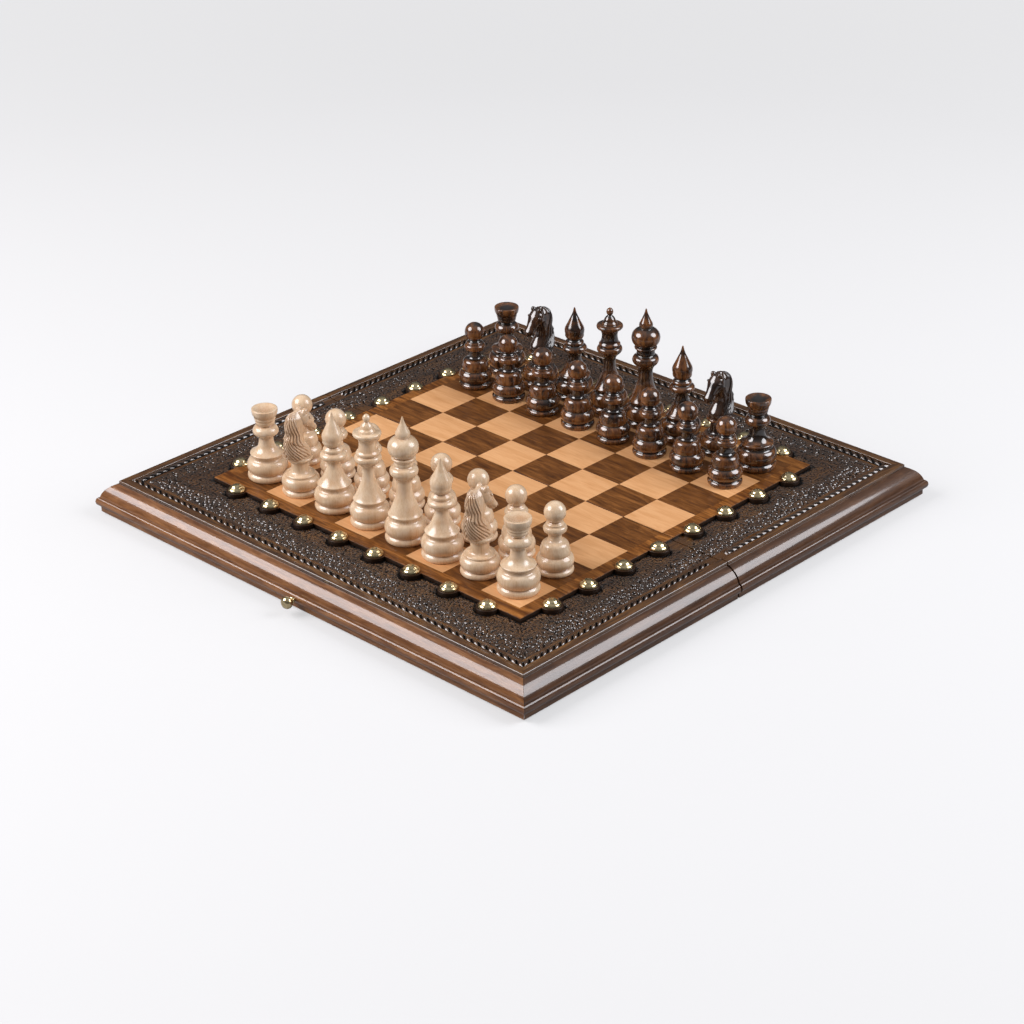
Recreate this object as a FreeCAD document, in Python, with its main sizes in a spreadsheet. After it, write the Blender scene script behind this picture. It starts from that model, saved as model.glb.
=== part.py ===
"""Folding chess and backgammon case, opened flat with its chess side up and the men set out.

X runs along the fold, Y from the white side to the dark side, Z up. The origin is under the
middle of the fold, at the lowest point of the hinge knuckles. All sizes are in millimetres.
"""
import FreeCAD, Part
import os
import re

import Sketcher

V = FreeCAD.Vector

# Driving dimensions of the case, its fittings and the common feet of the men.
SIZES = {
    # chess field
    "square": 33.3,
    "field_margin": 9.2,
    "field_thickness": 5.5,
    "inlay_thickness": 1.0,
    "inlay_joint": 0.1,
    # scallop tabs and domed studs
    "stud_setout": 11.4,
    "stud_radius": 5.8,
    "stud_edge": 0.5,
    "stud_dome": 2.7,
    "stud_bow": 0.68,
    "stud_pip": 0.5,
    "tab_radius": 7.2,
    "nail_radius": 0.9,
    "nail_length": 5.0,
    "nail_clearance": 0.05,
    # carved border, measured outwards from the field plate
    "border_width": 45.4,
    "border_thickness": 4.3,
    "ground_thickness": 2.8,
    "ground_width": 29.4,
    "ridge_width": 3.6,
    "ridge_bow": 1.2,
    "bead_channel": 0.5,
    "bead_width": 5.0,
    "bead_bow": 1.1,
    "rim_round": 0.6,
    "rim_bow": 0.17,
    # edge moulding, measured outwards from the border
    "moulding_width": 12.2,
    "moulding_height": 20.3,
    "ovolo_width": 9.9,
    "ovolo_foot": 10.5,
    "ovolo_bow": 1.75,
    "quirk_depth": 0.3,
    "lip_top": 10.2,
    "lip_foot": 4.4,
    "lip_bow": 1.5,
    "plinth_width": 9.6,
    # case box
    "fold_gap": 0.8,
    "closing_gap": 0.3,
    "rail_height": 15.5,
    "rail_width": 10.0,
    "panel_thickness": 3.0,
    "trim_margin": 5.0,
    # backgammon points
    "point_length": 146.0,
    "point_gap": 0.5,
    "point_tip": 1.0,
    "point_veneer": 0.8,
    # butt hinges
    "hinge_offset": 110.0,
    "hinge_length": 40.0,
    "knuckle_radius": 1.5,
    "knuckle_clearance": 0.35,
    "knuckle_joint": 0.2,
    "pin_radius": 0.7,
    "pin_clearance": 0.05,
    "leaf_reach": 9.0,
    "leaf_thickness": 1.2,
    "leaf_clearance": 0.1,
    "screw_pitch": 14.0,
    "screw_setback": 5.6,
    "screw_head_radius": 2.0,
    "screw_head_depth": 0.9,
    "screw_shank_radius": 1.0,
    "screw_length": 9.0,
    "screw_clearance": 0.05,
    # latch
    "knob_height": 7.3,
    "knob_ball_radius": 3.5,
    "knob_pin_radius": 1.6,
    "knob_pin_depth": 8.0,
    "knob_bore_clearance": 0.05,
    "hook_thickness": 1.0,
    "hook_play": 0.3,
    "hook_eye_radius": 3.3,
    "hook_bore_clearance": 0.05,
    "hook_slot_clearance": 0.35,
    "hook_tail": 3.4,
}

# Turned profiles, from the foot up. Each step gives the radius reached, the rise to it and how
# far the line bows out on the way there (a negative bow is hollow, none is straight).
TURNINGS = {
    "king": {
        "underside": (13.1, 0, 0),
        "foot": (13.1, 4.0, 0.9),
        "bulge": (11.8, 11.0, 1.5),
        "shoulder": (10.7, 0.5, 0),
        "lip": (10.6, 2.0, 0.6),
        "bell": (4.6, 16.0, -0.7),
        "neck": (5.0, 5.0, 0),
        "flare": (7.7, 5.0, -0.4),
        "collar": (7.7, 7.6, 1.7),
        "waist": (7.1, 2.4, -0.3),
        "ring": (7.1, 2.2, 0.4),
        "seat": (7.9, 1.4, 0),
        "head": (4.2, 12.6, 3.9),
        "finial_root": (4.3, 0.6, 0),
        "finial": (4.0, 5.0, 0.6),
        "tip": (0.4, 11.5, -0.5),
        "point": (0, 0, 0),
    },
    "queen": {
        "underside": (12.6, 0, 0),
        "foot": (12.6, 4.0, 0.9),
        "bulge": (11.4, 10.0, 1.4),
        "shoulder": (10.4, 0.5, 0),
        "lip": (10.3, 2.0, 0.6),
        "bell": (4.1, 17.0, -0.9),
        "neck": (4.4, 5.0, 0),
        "flare": (6.9, 5.2, -0.5),
        "collar": (7.2, 7.6, 2.0),
        "waist": (7.4, 9.6, -1.5),
        "crown": (9.7, 3.4, 0),
        "crown_edge": (9.4, 1.3, 0.3),
        "crown_dish": (5.3, 1.3, -0.3),
        "dome": (1.7, 6.2, 1.0),
        "finial": (0.4, 4.8, 1.61),
        "point": (0, 0, 0),
    },
    "bishop": {
        "underside": (12.9, 0, 0),
        "foot": (12.9, 4.0, 0.9),
        "bulge": (11.8, 10.0, 1.5),
        "shoulder": (10.8, 0.5, 0),
        "lip": (10.6, 1.8, 0.6),
        "bell": (4.9, 14.2, -1.0),
        "neck": (5.0, 2.6, 0),
        "flare": (6.8, 2.4, -0.3),
        "collar": (6.9, 6.4, 2.0),
        "waist": (6.4, 0.8, 0),
        "ring": (6.3, 2.6, 0.7),
        "groove": (5.9, 0.9, 0),
        "head": (6.3, 11.0, 1.8),
        "tip": (0.5, 10.7, -0.3),
        "point": (0, 0, 0),
    },
    "rook": {
        "underside": (13.2, 0, 0),
        "foot": (13.2, 4.0, 0.9),
        "bulge": (12.0, 10.6, 1.5),
        "shoulder": (10.8, 0.5, 0),
        "lip": (10.6, 1.9, 0.6),
        "bell": (5.4, 7.6, -1.0),
        "neck": (5.4, 5.0, 0),
        "flare": (6.6, 2.2, -0.2),
        "collar": (6.6, 6.2, 2.1),
        "seat": (6.0, 0.8, 0),
        "cup_foot": (7.3, 4.4, 0.2),
        "cup_ring": (7.6, 1.4, 0.25),
        "cup": (9.2, 6.0, -0.2),
        "rim": (7.9, 1.2, 0.3),
        "dish": (0, -2.2, 0),
    },
    "pawn": {
        "underside": (11.5, 0, 0),
        "foot": (11.5, 2.9, 0.8),
        "bulge": (10.3, 8.2, 1.4),
        "shoulder": (9.6, 0.4, 0),
        "lip": (9.4, 1.7, 0.5),
        "bell": (6.0, 5.4, 0.7),
        "hollow": (4.8, 2.6, -0.3),
        "neck": (4.9, 3.0, 0),
        "collar_foot": (5.8, 1.0, 0),
        "collar": (5.7, 7.0, 2.3),
        "seat": (4.3, 2.0, 0),
        "ball": (0.6, 13.17, 4.75),
        "point": (0, 0, 0),
    },
    "knight": {
        "underside": (12.4, 0, 0),
        "foot": (12.4, 3.8, 0.9),
        "bulge": (11.0, 8.2, 1.4),
        "shoulder": (10.0, 0.5, 0),
        "lip": (9.8, 1.6, 0.5),
        "bell": (6.9, 5.4, -0.5),
        "neck": (6.7, 3.6, 0),
        "table_foot": (8.2, 0.8, 0),
        "table": (8.2, 2.0, 0.5),
        "table_top": (0, 0, 0),
    },
}
for kind, steps in TURNINGS.items():
    for step, (radius, rise, bow) in steps.items():
        SIZES[f"{kind}_{step}_radius"] = radius
        SIZES[f"{kind}_{step}_rise"] = rise
        SIZES[f"{kind}_{step}_bow"] = bow

# The knight's horse seen from its side: how far forward and how high each corner is over the
# top of its turned foot, and how far the line bows out on the way there.
HORSE = {
    "mane_foot": (-8.6, -1.5, 0),
    "chest_foot": (8.0, -1.5, 0),
    "chest": (8.8, 4.6, 0.8),
    "throat_foot": (4.6, 11.1, -0.8),
    "throat": (5.0, 16.1, 0),
    "jaw": (6.6, 16.7, 0),
    "chin": (9.6, 13.3, 0),
    "mouth": (12.2, 13.7, 0),
    "muzzle": (13.0, 16.3, 0.5),
    "nose": (10.4, 23.1, -0.3),
    "brow": (6.4, 31.1, 0.5),
    "ear": (4.0, 35.1, 0),
    "ear_back": (2.4, 32.7, 0),
    "poll": (-1.5, 32.9, 0),
    "crest": (-8.5, 28.1, 1.2),
    "upper_lock": (-10.4, 21.6, 0.6),
    "parting": (-9.6, 17.1, 0),
    "lower_lock": (-11.6, 12.6, 0),
    "mane_tip": (-12.0, 4.1, 0.8),
}
# Half width of the horse at heights over the top of its turned foot.
HORSE_WIDTHS = {
    "foot": (6.8, -1.5),
    "chest": (7.0, 4.1),
    "neck": (5.4, 14.1),
    "cheek": (5.2, 24.1),
    "brow": (3.8, 31.6),
    "ear": (2.6, 35.2),
}
for corner, (forward, height, bow) in HORSE.items():
    SIZES[f"horse_{corner}_forward"] = forward
    SIZES[f"horse_{corner}_height"] = height
    SIZES[f"horse_{corner}_bow"] = bow
for level, (width, height) in HORSE_WIDTHS.items():
    SIZES[f"horse_width_{level}"] = width
    SIZES[f"horse_width_{level}_height"] = height

FILES = "abcdefgh"
ROWS = 4
BACK_RANK = ("rook", "knight", "bishop", "queen", "king", "bishop", "knight", "rook")
PAWN_RANK = ("pawn",) * 8
POINTS_PER_SIDE = 6
KNUCKLES = 5

# Places worked out from the driving dimensions.
FOLD_FACE = "(fold_gap / 2)"
FIELD_EDGE = "(4 * square + field_margin)"
STUD_LINE = "(4 * square + stud_setout)"
CASE_EDGE = f"({FIELD_EDGE} + border_width)"
LIP_EDGE = f"({CASE_EDGE} + moulding_width)"
RAIL_INSIDE = f"({CASE_EDGE} - rail_width)"
AXIS_HEIGHT = "knuckle_radius"
RIM = "(knuckle_radius + closing_gap / 2)"
PANEL_FOOT = f"({RIM} + rail_height)"
PANEL_TOP = f"({PANEL_FOOT} + panel_thickness)"
GROUND = f"({PANEL_TOP} + ground_thickness)"
FIELD_TOP = f"({PANEL_TOP} + field_thickness)"
LEAF_TOP = f"({RIM} + leaf_thickness)"
KNOB_AXIS = f"({RIM} + knob_height)"
TRIM_TOP = f"({FIELD_TOP} + trim_margin)"

doc = FreeCAD.newDocument("chess_and_backgammon_board")
sheet = doc.addObject("Spreadsheet::Sheet", "Sizes")
for row, (alias, size) in enumerate(SIZES.items(), 1):
    sheet.set(f"A{row}", alias)
    sheet.set(f"B{row}", str(size))
    sheet.setAlias(f"B{row}", alias)
doc.recompute()


def formula(words):
    """The same formula with each size named by its cell in the sheet."""
    return re.sub(r"[a-z]\w*", lambda m: f"Sizes.{m[0]}" if m[0] in SIZES else m[0], str(words))


def amount(words):
    """The value of a formula in millimetres."""
    return float(sheet.evalExpression(formula(words)))


def bind(thing, **sizes):
    for name, words in sizes.items():
        thing.setExpression(name, formula(words))
    return thing


def place(thing, x=0, y=0, z=0, turn=None):
    """Puts an object at a point given by formulas, after an optional turn."""
    if turn:
        thing.Placement = FreeCAD.Placement(V(), turn)
    for axis, words in (("x", x), ("y", y), ("z", z)):
        thing.setExpression(f"Placement.Base.{axis}", formula(words))
    return thing


def turned_about(axis, degrees):
    return FreeCAD.Rotation(axis, degrees)


HALF_TURN = turned_about(V(0, 0, 1), 180)
ALONG_X = turned_about(V(0, 1, 0), 90)
ALONG_MINUS_Y = turned_about(V(1, 0, 0), 90)


def box(name, x, y, z):
    """A block between a low and a high formula on each axis."""
    block = doc.addObject("Part::Box", name)
    length, width, height = (f"({high}) - ({low})" for low, high in (x, y, z))
    bind(block, Length=length, Width=width, Height=height)
    return place(block, x[0], y[0], z[0])


def cylinder(name, radius, length, x=0, y=0, z=0, turn=None):
    rod = doc.addObject("Part::Cylinder", name)
    bind(rod, Radius=radius, Height=length)
    return place(rod, x, y, z, turn)


def cone(name, foot_radius, top_radius, length, x=0, y=0, z=0, turn=None):
    taper = doc.addObject("Part::Cone", name)
    bind(taper, Radius1=foot_radius, Radius2=top_radius, Height=length)
    return place(taper, x, y, z, turn)


def group(name, pieces):
    bundle = doc.addObject("Part::Compound", name)
    bundle.Links = pieces
    return bundle


def cut(name, piece, tools):
    result = doc.addObject("Part::Cut", name)
    result.Base = piece
    result.Tool = tools[0] if len(tools) == 1 else group(f"{name}_tools", tools)
    return result


def fuse(name, pieces):
    result = doc.addObject("Part::MultiFuse", name)
    result.Shapes = pieces
    return result


def common(name, piece, keep):
    result = doc.addObject("Part::Common", name)
    result.Base = piece
    result.Tool = keep
    return result


def arc_radius(first, last, bow):
    """Formula for the radius of an arc from its chord and how far it bows."""
    across = f"(({last[0]}) - ({first[0]}))"
    up = f"(({last[1]}) - ({first[1]}))"
    return f"(({across}^2 + {up}^2) / (8 * abs({bow})) + abs({bow}) / 2)"


def outline(sketch, corners):
    """Draws a closed outline in a sketch and ties every corner to the sheet.

    Each corner is (x, y, bow): two formulas for its place and one for how far the side that
    leads to it bows to the right of the way it is drawn. No bow, or one of nothing, is straight.
    """
    spots = [V(amount(x), amount(y), 0) for x, y, _ in corners]
    sides = []
    for i, (x, y, bow) in enumerate(corners):
        start, end = spots[i - 1], spots[i]
        bent = amount(bow) if bow else 0
        if not bent:
            sides.append(sketch.addGeometry(Part.LineSegment(start, end)))
            continue
        across = V(end.y - start.y, start.x - end.x, 0).normalize()
        middle = (start + end) / 2 + across * bent
        sides.append(sketch.addGeometry(Part.Arc(start, middle, end)))
    ends = []
    for i, side in enumerate(sides):
        begins_first = (sketch.getPoint(side, 1) - spots[i - 1]).Length < 1e-6
        ends.append((1, 2) if begins_first else (2, 1))
    rules = []
    for i, side in enumerate(sides):
        x, y, bow = corners[i]
        after = (i + 1) % len(sides)
        joint = (side, ends[i][1], sides[after], ends[after][0])
        corner = (-1, 1, side, ends[i][1])
        rules.append((Sketcher.Constraint("Coincident", *joint), None))
        rules.append((Sketcher.Constraint("DistanceX", *corner, spots[i].x), x))
        rules.append((Sketcher.Constraint("DistanceY", *corner, spots[i].y), y))
        if bow and amount(bow):
            radius = arc_radius(corners[i - 1], corners[i], bow)
            rules.append((Sketcher.Constraint("Radius", side, amount(radius)), radius))
    marks = sketch.addConstraint([rule for rule, _ in rules])
    for mark, (_, words) in zip(marks, rules):
        if words is not None:
            sketch.setExpression(f"Constraints[{mark}]", formula(words))
    return sketch


def plate(name, corners, thickness, z=0):
    """A flat piece with its outline in X and Y, raised from a height by a thickness."""
    sketch = outline(doc.addObject("Sketcher::SketchObject", f"{name}_outline"), corners)
    place(sketch, z=z)
    piece = doc.addObject("Part::Extrusion", name)
    piece.Base = sketch
    piece.DirMode = "Normal"
    piece.Solid = True
    return bind(piece, LengthFwd=thickness)


def turning(kind):
    """A lathe-turned piece, its profile taken from the steps of its kind."""
    corners = [("0", "0", None)]
    height = "0"
    for step in TURNINGS[kind]:
        height = f"{height} + {kind}_{step}_rise"
        corners.append((f"{kind}_{step}_radius", height, f"{kind}_{step}_bow"))
    return revolved(f"turned_{kind}", corners)


def revolved(name, corners):
    """A body turned about Z from an outline of (radius, height, bow) corners on the axis side."""
    body = doc.addObject("PartDesign::Body", name)
    sketch = body.newObject("Sketcher::SketchObject", f"{name}_profile")
    upright = next(p for p in body.Origin.OriginFeatures if p.Role == "XZ_Plane")
    sketch.AttachmentSupport = (upright, [""])
    sketch.MapMode = "FlatFace"
    outline(sketch, corners)
    lathe = body.newObject("PartDesign::Revolution", f"{name}_lathe")
    lathe.Profile = sketch
    lathe.ReferenceAxis = (sketch, ["V_Axis"])
    lathe.Angle = 360
    return body


def rear_copy(piece, name):
    """The rear half's piece: the front one turned half round about the middle of the fold."""
    return place(group(name, [piece]), turn=HALF_TURN)


nodes = []


def node(piece, label):
    piece.Label = label
    nodes.append(piece)
    return piece


def both_halves(piece, label):
    """Keeps a piece of the front half and its copy in the rear half."""
    node(piece, f"front_{label}")
    node(rear_copy(piece, f"rear_{label}_copy"), f"rear_{label}")


# Three-sided frames: one section is run along a side, turned to each side and mitred.
def mitre_blocks():
    reach = f"({LIP_EDGE} + trim_margin)"
    height = TRIM_TOP
    outer = [(0, 0, None), (f"-{reach}", f"-{reach}", None), (reach, f"-{reach}", None)]
    left = [
        (f"-{FOLD_FACE}", f"-{FOLD_FACE}", None),
        (f"-{reach}", f"-{FOLD_FACE}", None),
        (f"-{reach}", f"-{reach}", None),
    ]
    right = [
        (FOLD_FACE, f"-{FOLD_FACE}", None),
        (reach, f"-{reach}", None),
        (reach, f"-{FOLD_FACE}", None),
    ]
    sides = {"outer": (outer, 0), "left": (left, -90), "right": (right, 90)}
    return {
        side: (plate(f"mitre_{side}", corners, height), turned_about(V(0, 0, 1), angle))
        for side, (corners, angle) in sides.items()
    }


def mitred_frame(name, section, start, height):
    """Three mitred lengths of a section drawn as (outwards, up), from a start and a height."""
    sketch = outline(doc.addObject("Sketcher::SketchObject", f"{name}_section"), section)
    across = FreeCAD.Rotation(V(0, -1, 0), V(0, 0, 1), V(-1, 0, 0), "XYZ")
    place(sketch, y=f"-{start}", z=height, turn=across)
    run = doc.addObject("Part::Extrusion", f"{name}_run")
    run.Base = sketch
    run.DirMode = "Normal"
    run.Symmetric = True
    run.Solid = True
    bind(run, LengthFwd=f"2 * ({LIP_EDGE} + trim_margin)")
    lengths = {}
    for side, (block, turn) in MITRES.items():
        laid = place(group(f"{name}_{side}_run", [run]), turn=turn)
        lengths[side] = common(f"{name}_{side}", laid, block)
    return lengths


MITRES = mitre_blocks()


def edge_moulding():
    """Ovolo, quirk, rounded lip and set-back plinth, bored in the middle for the latch knob."""
    section = [
        ("0", "0", None),
        ("plinth_width", "0", None),
        ("plinth_width", "lip_foot", None),
        ("moulding_width - lip_bow", "lip_foot", None),
        ("moulding_width - lip_bow", "lip_top", "lip_bow"),
        ("ovolo_width - quirk_depth", "lip_top", None),
        ("ovolo_width - quirk_depth", "ovolo_foot", None),
        ("ovolo_width", "ovolo_foot", None),
        ("quirk_depth", "moulding_height", "ovolo_bow"),
        ("0", "moulding_height", None),
    ]
    lengths = mitred_frame("moulding", section, CASE_EDGE, RIM)
    bore = cylinder(
        "knob_bore",
        "knob_pin_radius + knob_bore_clearance",
        "knob_pin_depth + moulding_width",
        y=f"-({LIP_EDGE} - knob_pin_depth)",
        z=KNOB_AXIS,
        turn=ALONG_MINUS_Y,
    )
    outer = cut("moulding_outer_bored", lengths["outer"], [bore])
    return group("edge_moulding", [outer, lengths["left"], lengths["right"]])


def stud_spots():
    """Places of a half's studs, one by each square's middle: four, eight and four, by side."""
    along = [f"({i} - 3.5) * square" for i in range(2 * ROWS)]
    return {
        "left": [(f"-{STUD_LINE}", f"-({j} + 0.5) * square") for j in range(ROWS)],
        "outer": [(x, f"-{STUD_LINE}") for x in along],
        "right": [(STUD_LINE, f"-({j} + 0.5) * square") for j in range(ROWS)],
    }


STUDS = stud_spots()


def nail_holes(name, spots):
    """Bores for the stud nails, from just under their points to the top of the field."""
    radius = "nail_radius + nail_clearance"
    length = "nail_length + nail_clearance"
    foot = f"{FIELD_TOP} - nail_length - nail_clearance"
    return [cylinder(f"{name}_{i}", radius, length, x, y, foot) for i, (x, y) in enumerate(spots)]


def carved_border():
    """Sunk ground, ridge, bead row and rim band, with bores for the stud nails."""
    ridge_end = "ground_width + ridge_width"
    bead_start = f"{ridge_end} + bead_channel"
    bead_end = f"{bead_start} + bead_width"
    section = [
        ("0", "0", None),
        ("border_width", "0", None),
        ("border_width", "border_thickness - rim_round", None),
        ("border_width - rim_round", "border_thickness", "rim_bow"),
        (f"{bead_end} + bead_channel", "border_thickness", None),
        (f"{bead_end} + bead_channel", "ground_thickness", None),
        (bead_end, "ground_thickness", None),
        (bead_start, "ground_thickness", "bead_bow"),
        (f"{bead_start} - bead_channel", "ground_thickness", None),
        ("ground_width", "ground_thickness", "ridge_bow"),
        ("0", "ground_thickness", None),
    ]
    lengths = mitred_frame("border", section, FIELD_EDGE, PANEL_TOP)
    boards = [
        cut(f"border_{side}_bored", lengths[side], nail_holes(f"border_{side}_hole", spots))
        for side, spots in STUDS.items()
    ]
    return group("carved_border", boards)


def light_spots():
    """File and row of each light square in the front half, row 0 at the outer edge."""
    return [(i, j) for j in range(ROWS) for i in range(2 * ROWS) if (i + j) % 2]


def inlay(name, i, j):
    """One light square, level with the field and let in by the inlay's thickness."""
    x = (f"({i} - 4) * square + inlay_joint / 2", f"({i} - 3) * square - inlay_joint / 2")
    far = f"-{FOLD_FACE}" if j == ROWS - 1 else f"({j} - 3) * square - inlay_joint / 2"
    y = (f"({j} - 4) * square + inlay_joint / 2", far)
    return box(f"{name}_{FILES[i]}{j + 1}", x, y, (f"({FIELD_TOP} - inlay_thickness)", FIELD_TOP))


def field_plate(squares):
    """Walnut plate whose own face makes the dark squares, with a scallop tab under each stud."""
    edge = f"-{FIELD_EDGE}"
    slab = box("field_slab", (edge, FIELD_EDGE), (edge, f"-{FOLD_FACE}"), (PANEL_TOP, FIELD_TOP))
    spots = [spot for side in STUDS.values() for spot in side]
    lift = "field_thickness - ground_thickness"
    tabs = [
        cylinder(f"tab_{i}", "tab_radius", lift, x, y, GROUND) for i, (x, y) in enumerate(spots)
    ]
    blank = fuse("field_blank", [slab] + tabs)
    return cut("field_plate", blank, squares + nail_holes("tab_hole", spots))


def studs():
    corners = [
        ("0", "-nail_length", None),
        ("nail_radius", "-nail_length", None),
        ("nail_radius", "0", None),
        ("stud_radius", "0", None),
        ("stud_radius", "stud_edge", None),
        ("stud_pip", "stud_edge + stud_dome", "stud_bow"),
        ("0", "stud_edge + stud_dome", None),
    ]
    pattern = revolved("domed_stud", corners)
    spots = [spot for side in STUDS.values() for spot in side]
    return group(
        "studs",
        [place(group(f"stud_{i}", [pattern]), x, y, FIELD_TOP) for i, (x, y) in enumerate(spots)],
    )


def case_rails():
    """The outer rail and the two side rails that butt against it."""
    height = (RIM, PANEL_FOOT)
    inside = f"-{RAIL_INSIDE}"
    edge = f"-{CASE_EDGE}"
    outer = box("outer_rail", (edge, CASE_EDGE), (edge, inside), height)
    left = box("left_rail", (edge, inside), (inside, f"-{FOLD_FACE}"), height)
    right = box("right_rail", (RAIL_INSIDE, CASE_EDGE), (inside, f"-{FOLD_FACE}"), height)
    return group("case_rails", [outer, left, right])


HINGE_CENTRES = {"left": "-hinge_offset", "right": "hinge_offset"}
SCREW_ROW = (-1, 0, 1)


def screw_spots():
    return [
        (f"{centre} + {n} * screw_pitch", "-screw_setback")
        for centre in HINGE_CENTRES.values()
        for n in SCREW_ROW
    ]


def screw(name, x, y, spare="0"):
    """A countersunk wood screw driven up from the rim, or with spare its hole."""
    head = cone(
        f"{name}_head",
        f"screw_head_radius + {spare}",
        f"screw_shank_radius + {spare}",
        "screw_head_depth",
        x, y, RIM,
    )
    shank = cylinder(
        f"{name}_shank",
        f"screw_shank_radius + {spare}",
        f"screw_length + {spare}",
        x, y, RIM,
    )
    return fuse(name, [head, shank])


def screw_holes(name):
    return [screw(f"{name}_{i}", x, y, "screw_clearance") for i, (x, y) in enumerate(screw_spots())]


def fold_rail():
    """Rail along the fold, recessed for the hinge leaves and hollowed round their knuckles."""
    rail = box(
        "fold_rail_blank",
        (f"-{RAIL_INSIDE}", RAIL_INSIDE),
        (f"-(rail_width + {FOLD_FACE})", f"-{FOLD_FACE}"),
        (RIM, PANEL_FOOT),
    )
    tools = screw_holes("rail_screw_hole")
    for side, centre in HINGE_CENTRES.items():
        low = f"({centre} - hinge_length / 2 - leaf_clearance)"
        high = f"({centre} + hinge_length / 2 + leaf_clearance)"
        depth = ("-(leaf_reach + leaf_clearance)", "0")
        tools.append(box(f"leaf_recess_{side}", (low, high), depth, (RIM, LEAF_TOP)))
        tools.append(
            cylinder(
                f"knuckle_recess_{side}",
                "knuckle_radius + knuckle_clearance",
                f"{high} - {low}",
                low, 0, AXIS_HEIGHT,
                ALONG_X,
            )
        )
    return cut("fold_rail", rail, tools)


def knuckle_span(centre, n):
    """Low and high X of a hinge's knuckle, counted from its left end."""
    step = f"hinge_length / {KNUCKLES}"
    start = f"{centre} - hinge_length / 2"
    return (
        f"({start} + {n} * {step} + knuckle_joint / 2)",
        f"({start} + {n + 1} * {step} - knuckle_joint / 2)",
    )


def hinge_leaves(name, own):
    """Both hinges' leaves of the front half, with the knuckles whose numbers are given."""
    holes = screw_holes(f"{name}_screw_hole")
    leaves = []
    for side, centre in HINGE_CENTRES.items():
        near = "-(knuckle_radius + knuckle_clearance)"
        ends = (f"({centre} - hinge_length / 2)", f"({centre} + hinge_length / 2)")
        pieces = [box(f"{name}_{side}_plate", ends, ("-leaf_reach", near), (RIM, LEAF_TOP))]
        for n in own:
            low, high = knuckle_span(centre, n)
            label = f"{name}_{side}_knuckle_{n}"
            length = f"{high} - {low}"
            pieces.append(cylinder(label, "knuckle_radius", length, low, 0, AXIS_HEIGHT, ALONG_X))
            pieces.append(box(f"{label}_web", (low, high), (near, "0"), (RIM, LEAF_TOP)))
        pin_hole = cylinder(
            f"{name}_{side}_pin_hole",
            "pin_radius + pin_clearance",
            "hinge_length",
            ends[0], 0, AXIS_HEIGHT,
            ALONG_X,
        )
        leaves.append(cut(f"{name}_{side}", fuse(f"{name}_{side}_blank", pieces), [pin_hole] + holes))
    return group(name, leaves)


def hinge_pins():
    return group(
        "hinge_pins",
        [
            cylinder(
                f"hinge_pin_{side}",
                "pin_radius",
                "hinge_length",
                f"{centre} - hinge_length / 2", 0, AXIS_HEIGHT,
                ALONG_X,
            )
            for side, centre in HINGE_CENTRES.items()
        ],
    )


def hinge_screws():
    screws = [screw(f"hinge_screw_{i}", x, y) for i, (x, y) in enumerate(screw_spots())]
    return group("hinge_screws", screws)


def backgammon_points():
    """Light and dark wedges let into the tray's floor, six along each side rail."""
    start = f"(rail_width + {FOLD_FACE})"
    step = f"(({RAIL_INSIDE} - {start}) / {POINTS_PER_SIDE})"
    colours = ([], [])
    for side, sign in (("left", -1), ("right", 1)):
        root = f"{sign} * {RAIL_INSIDE}"
        tip = f"{sign} * ({RAIL_INSIDE} - point_length)"
        for n in range(POINTS_PER_SIDE):
            near = f"-({start} + {n} * {step} + point_gap / 2)"
            far = f"-({start} + {n + 1} * {step} - point_gap / 2)"
            middle = f"-({start} + ({n} + 0.5) * {step})"
            corners = [
                (root, far, None),
                (tip, f"{middle} - point_tip / 2", None),
                (tip, f"{middle} + point_tip / 2", None),
                (root, near, None),
            ]
            wedge = plate(f"point_{side}_{n}", corners, "point_veneer", PANEL_FOOT)
            colours[(n + (sign > 0)) % 2].append(wedge)
    return colours


def core_panel(wedges):
    """Panel on top of the rails: the chess field's bed and, below, the tray's floor."""
    edge = f"-{CASE_EDGE}"
    slab = box("core_slab", (edge, CASE_EDGE), (edge, f"-{FOLD_FACE}"), (PANEL_FOOT, PANEL_TOP))
    return cut("core_panel", slab, wedges)


def latch_knob():
    """Ball on a pin pressed into the lip; the hook swings on the bare stretch of the pin."""
    stretch = "(hook_thickness + 2 * hook_play)"
    pin = cylinder(
        "knob_pin",
        "knob_pin_radius",
        f"knob_pin_depth + {stretch} + knob_ball_radius",
        y=f"-({LIP_EDGE} - knob_pin_depth)",
        z=KNOB_AXIS,
        turn=ALONG_MINUS_Y,
    )
    ball = doc.addObject("Part::Sphere", "knob_ball")
    bind(ball, Radius="knob_ball_radius")
    overhang = "sqrt(knob_ball_radius^2 - knob_pin_radius^2)"
    place(ball, y=f"-({LIP_EDGE} + {stretch} + {overhang})", z=KNOB_AXIS)
    return fuse("latch_knob", [pin, ball])


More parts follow.
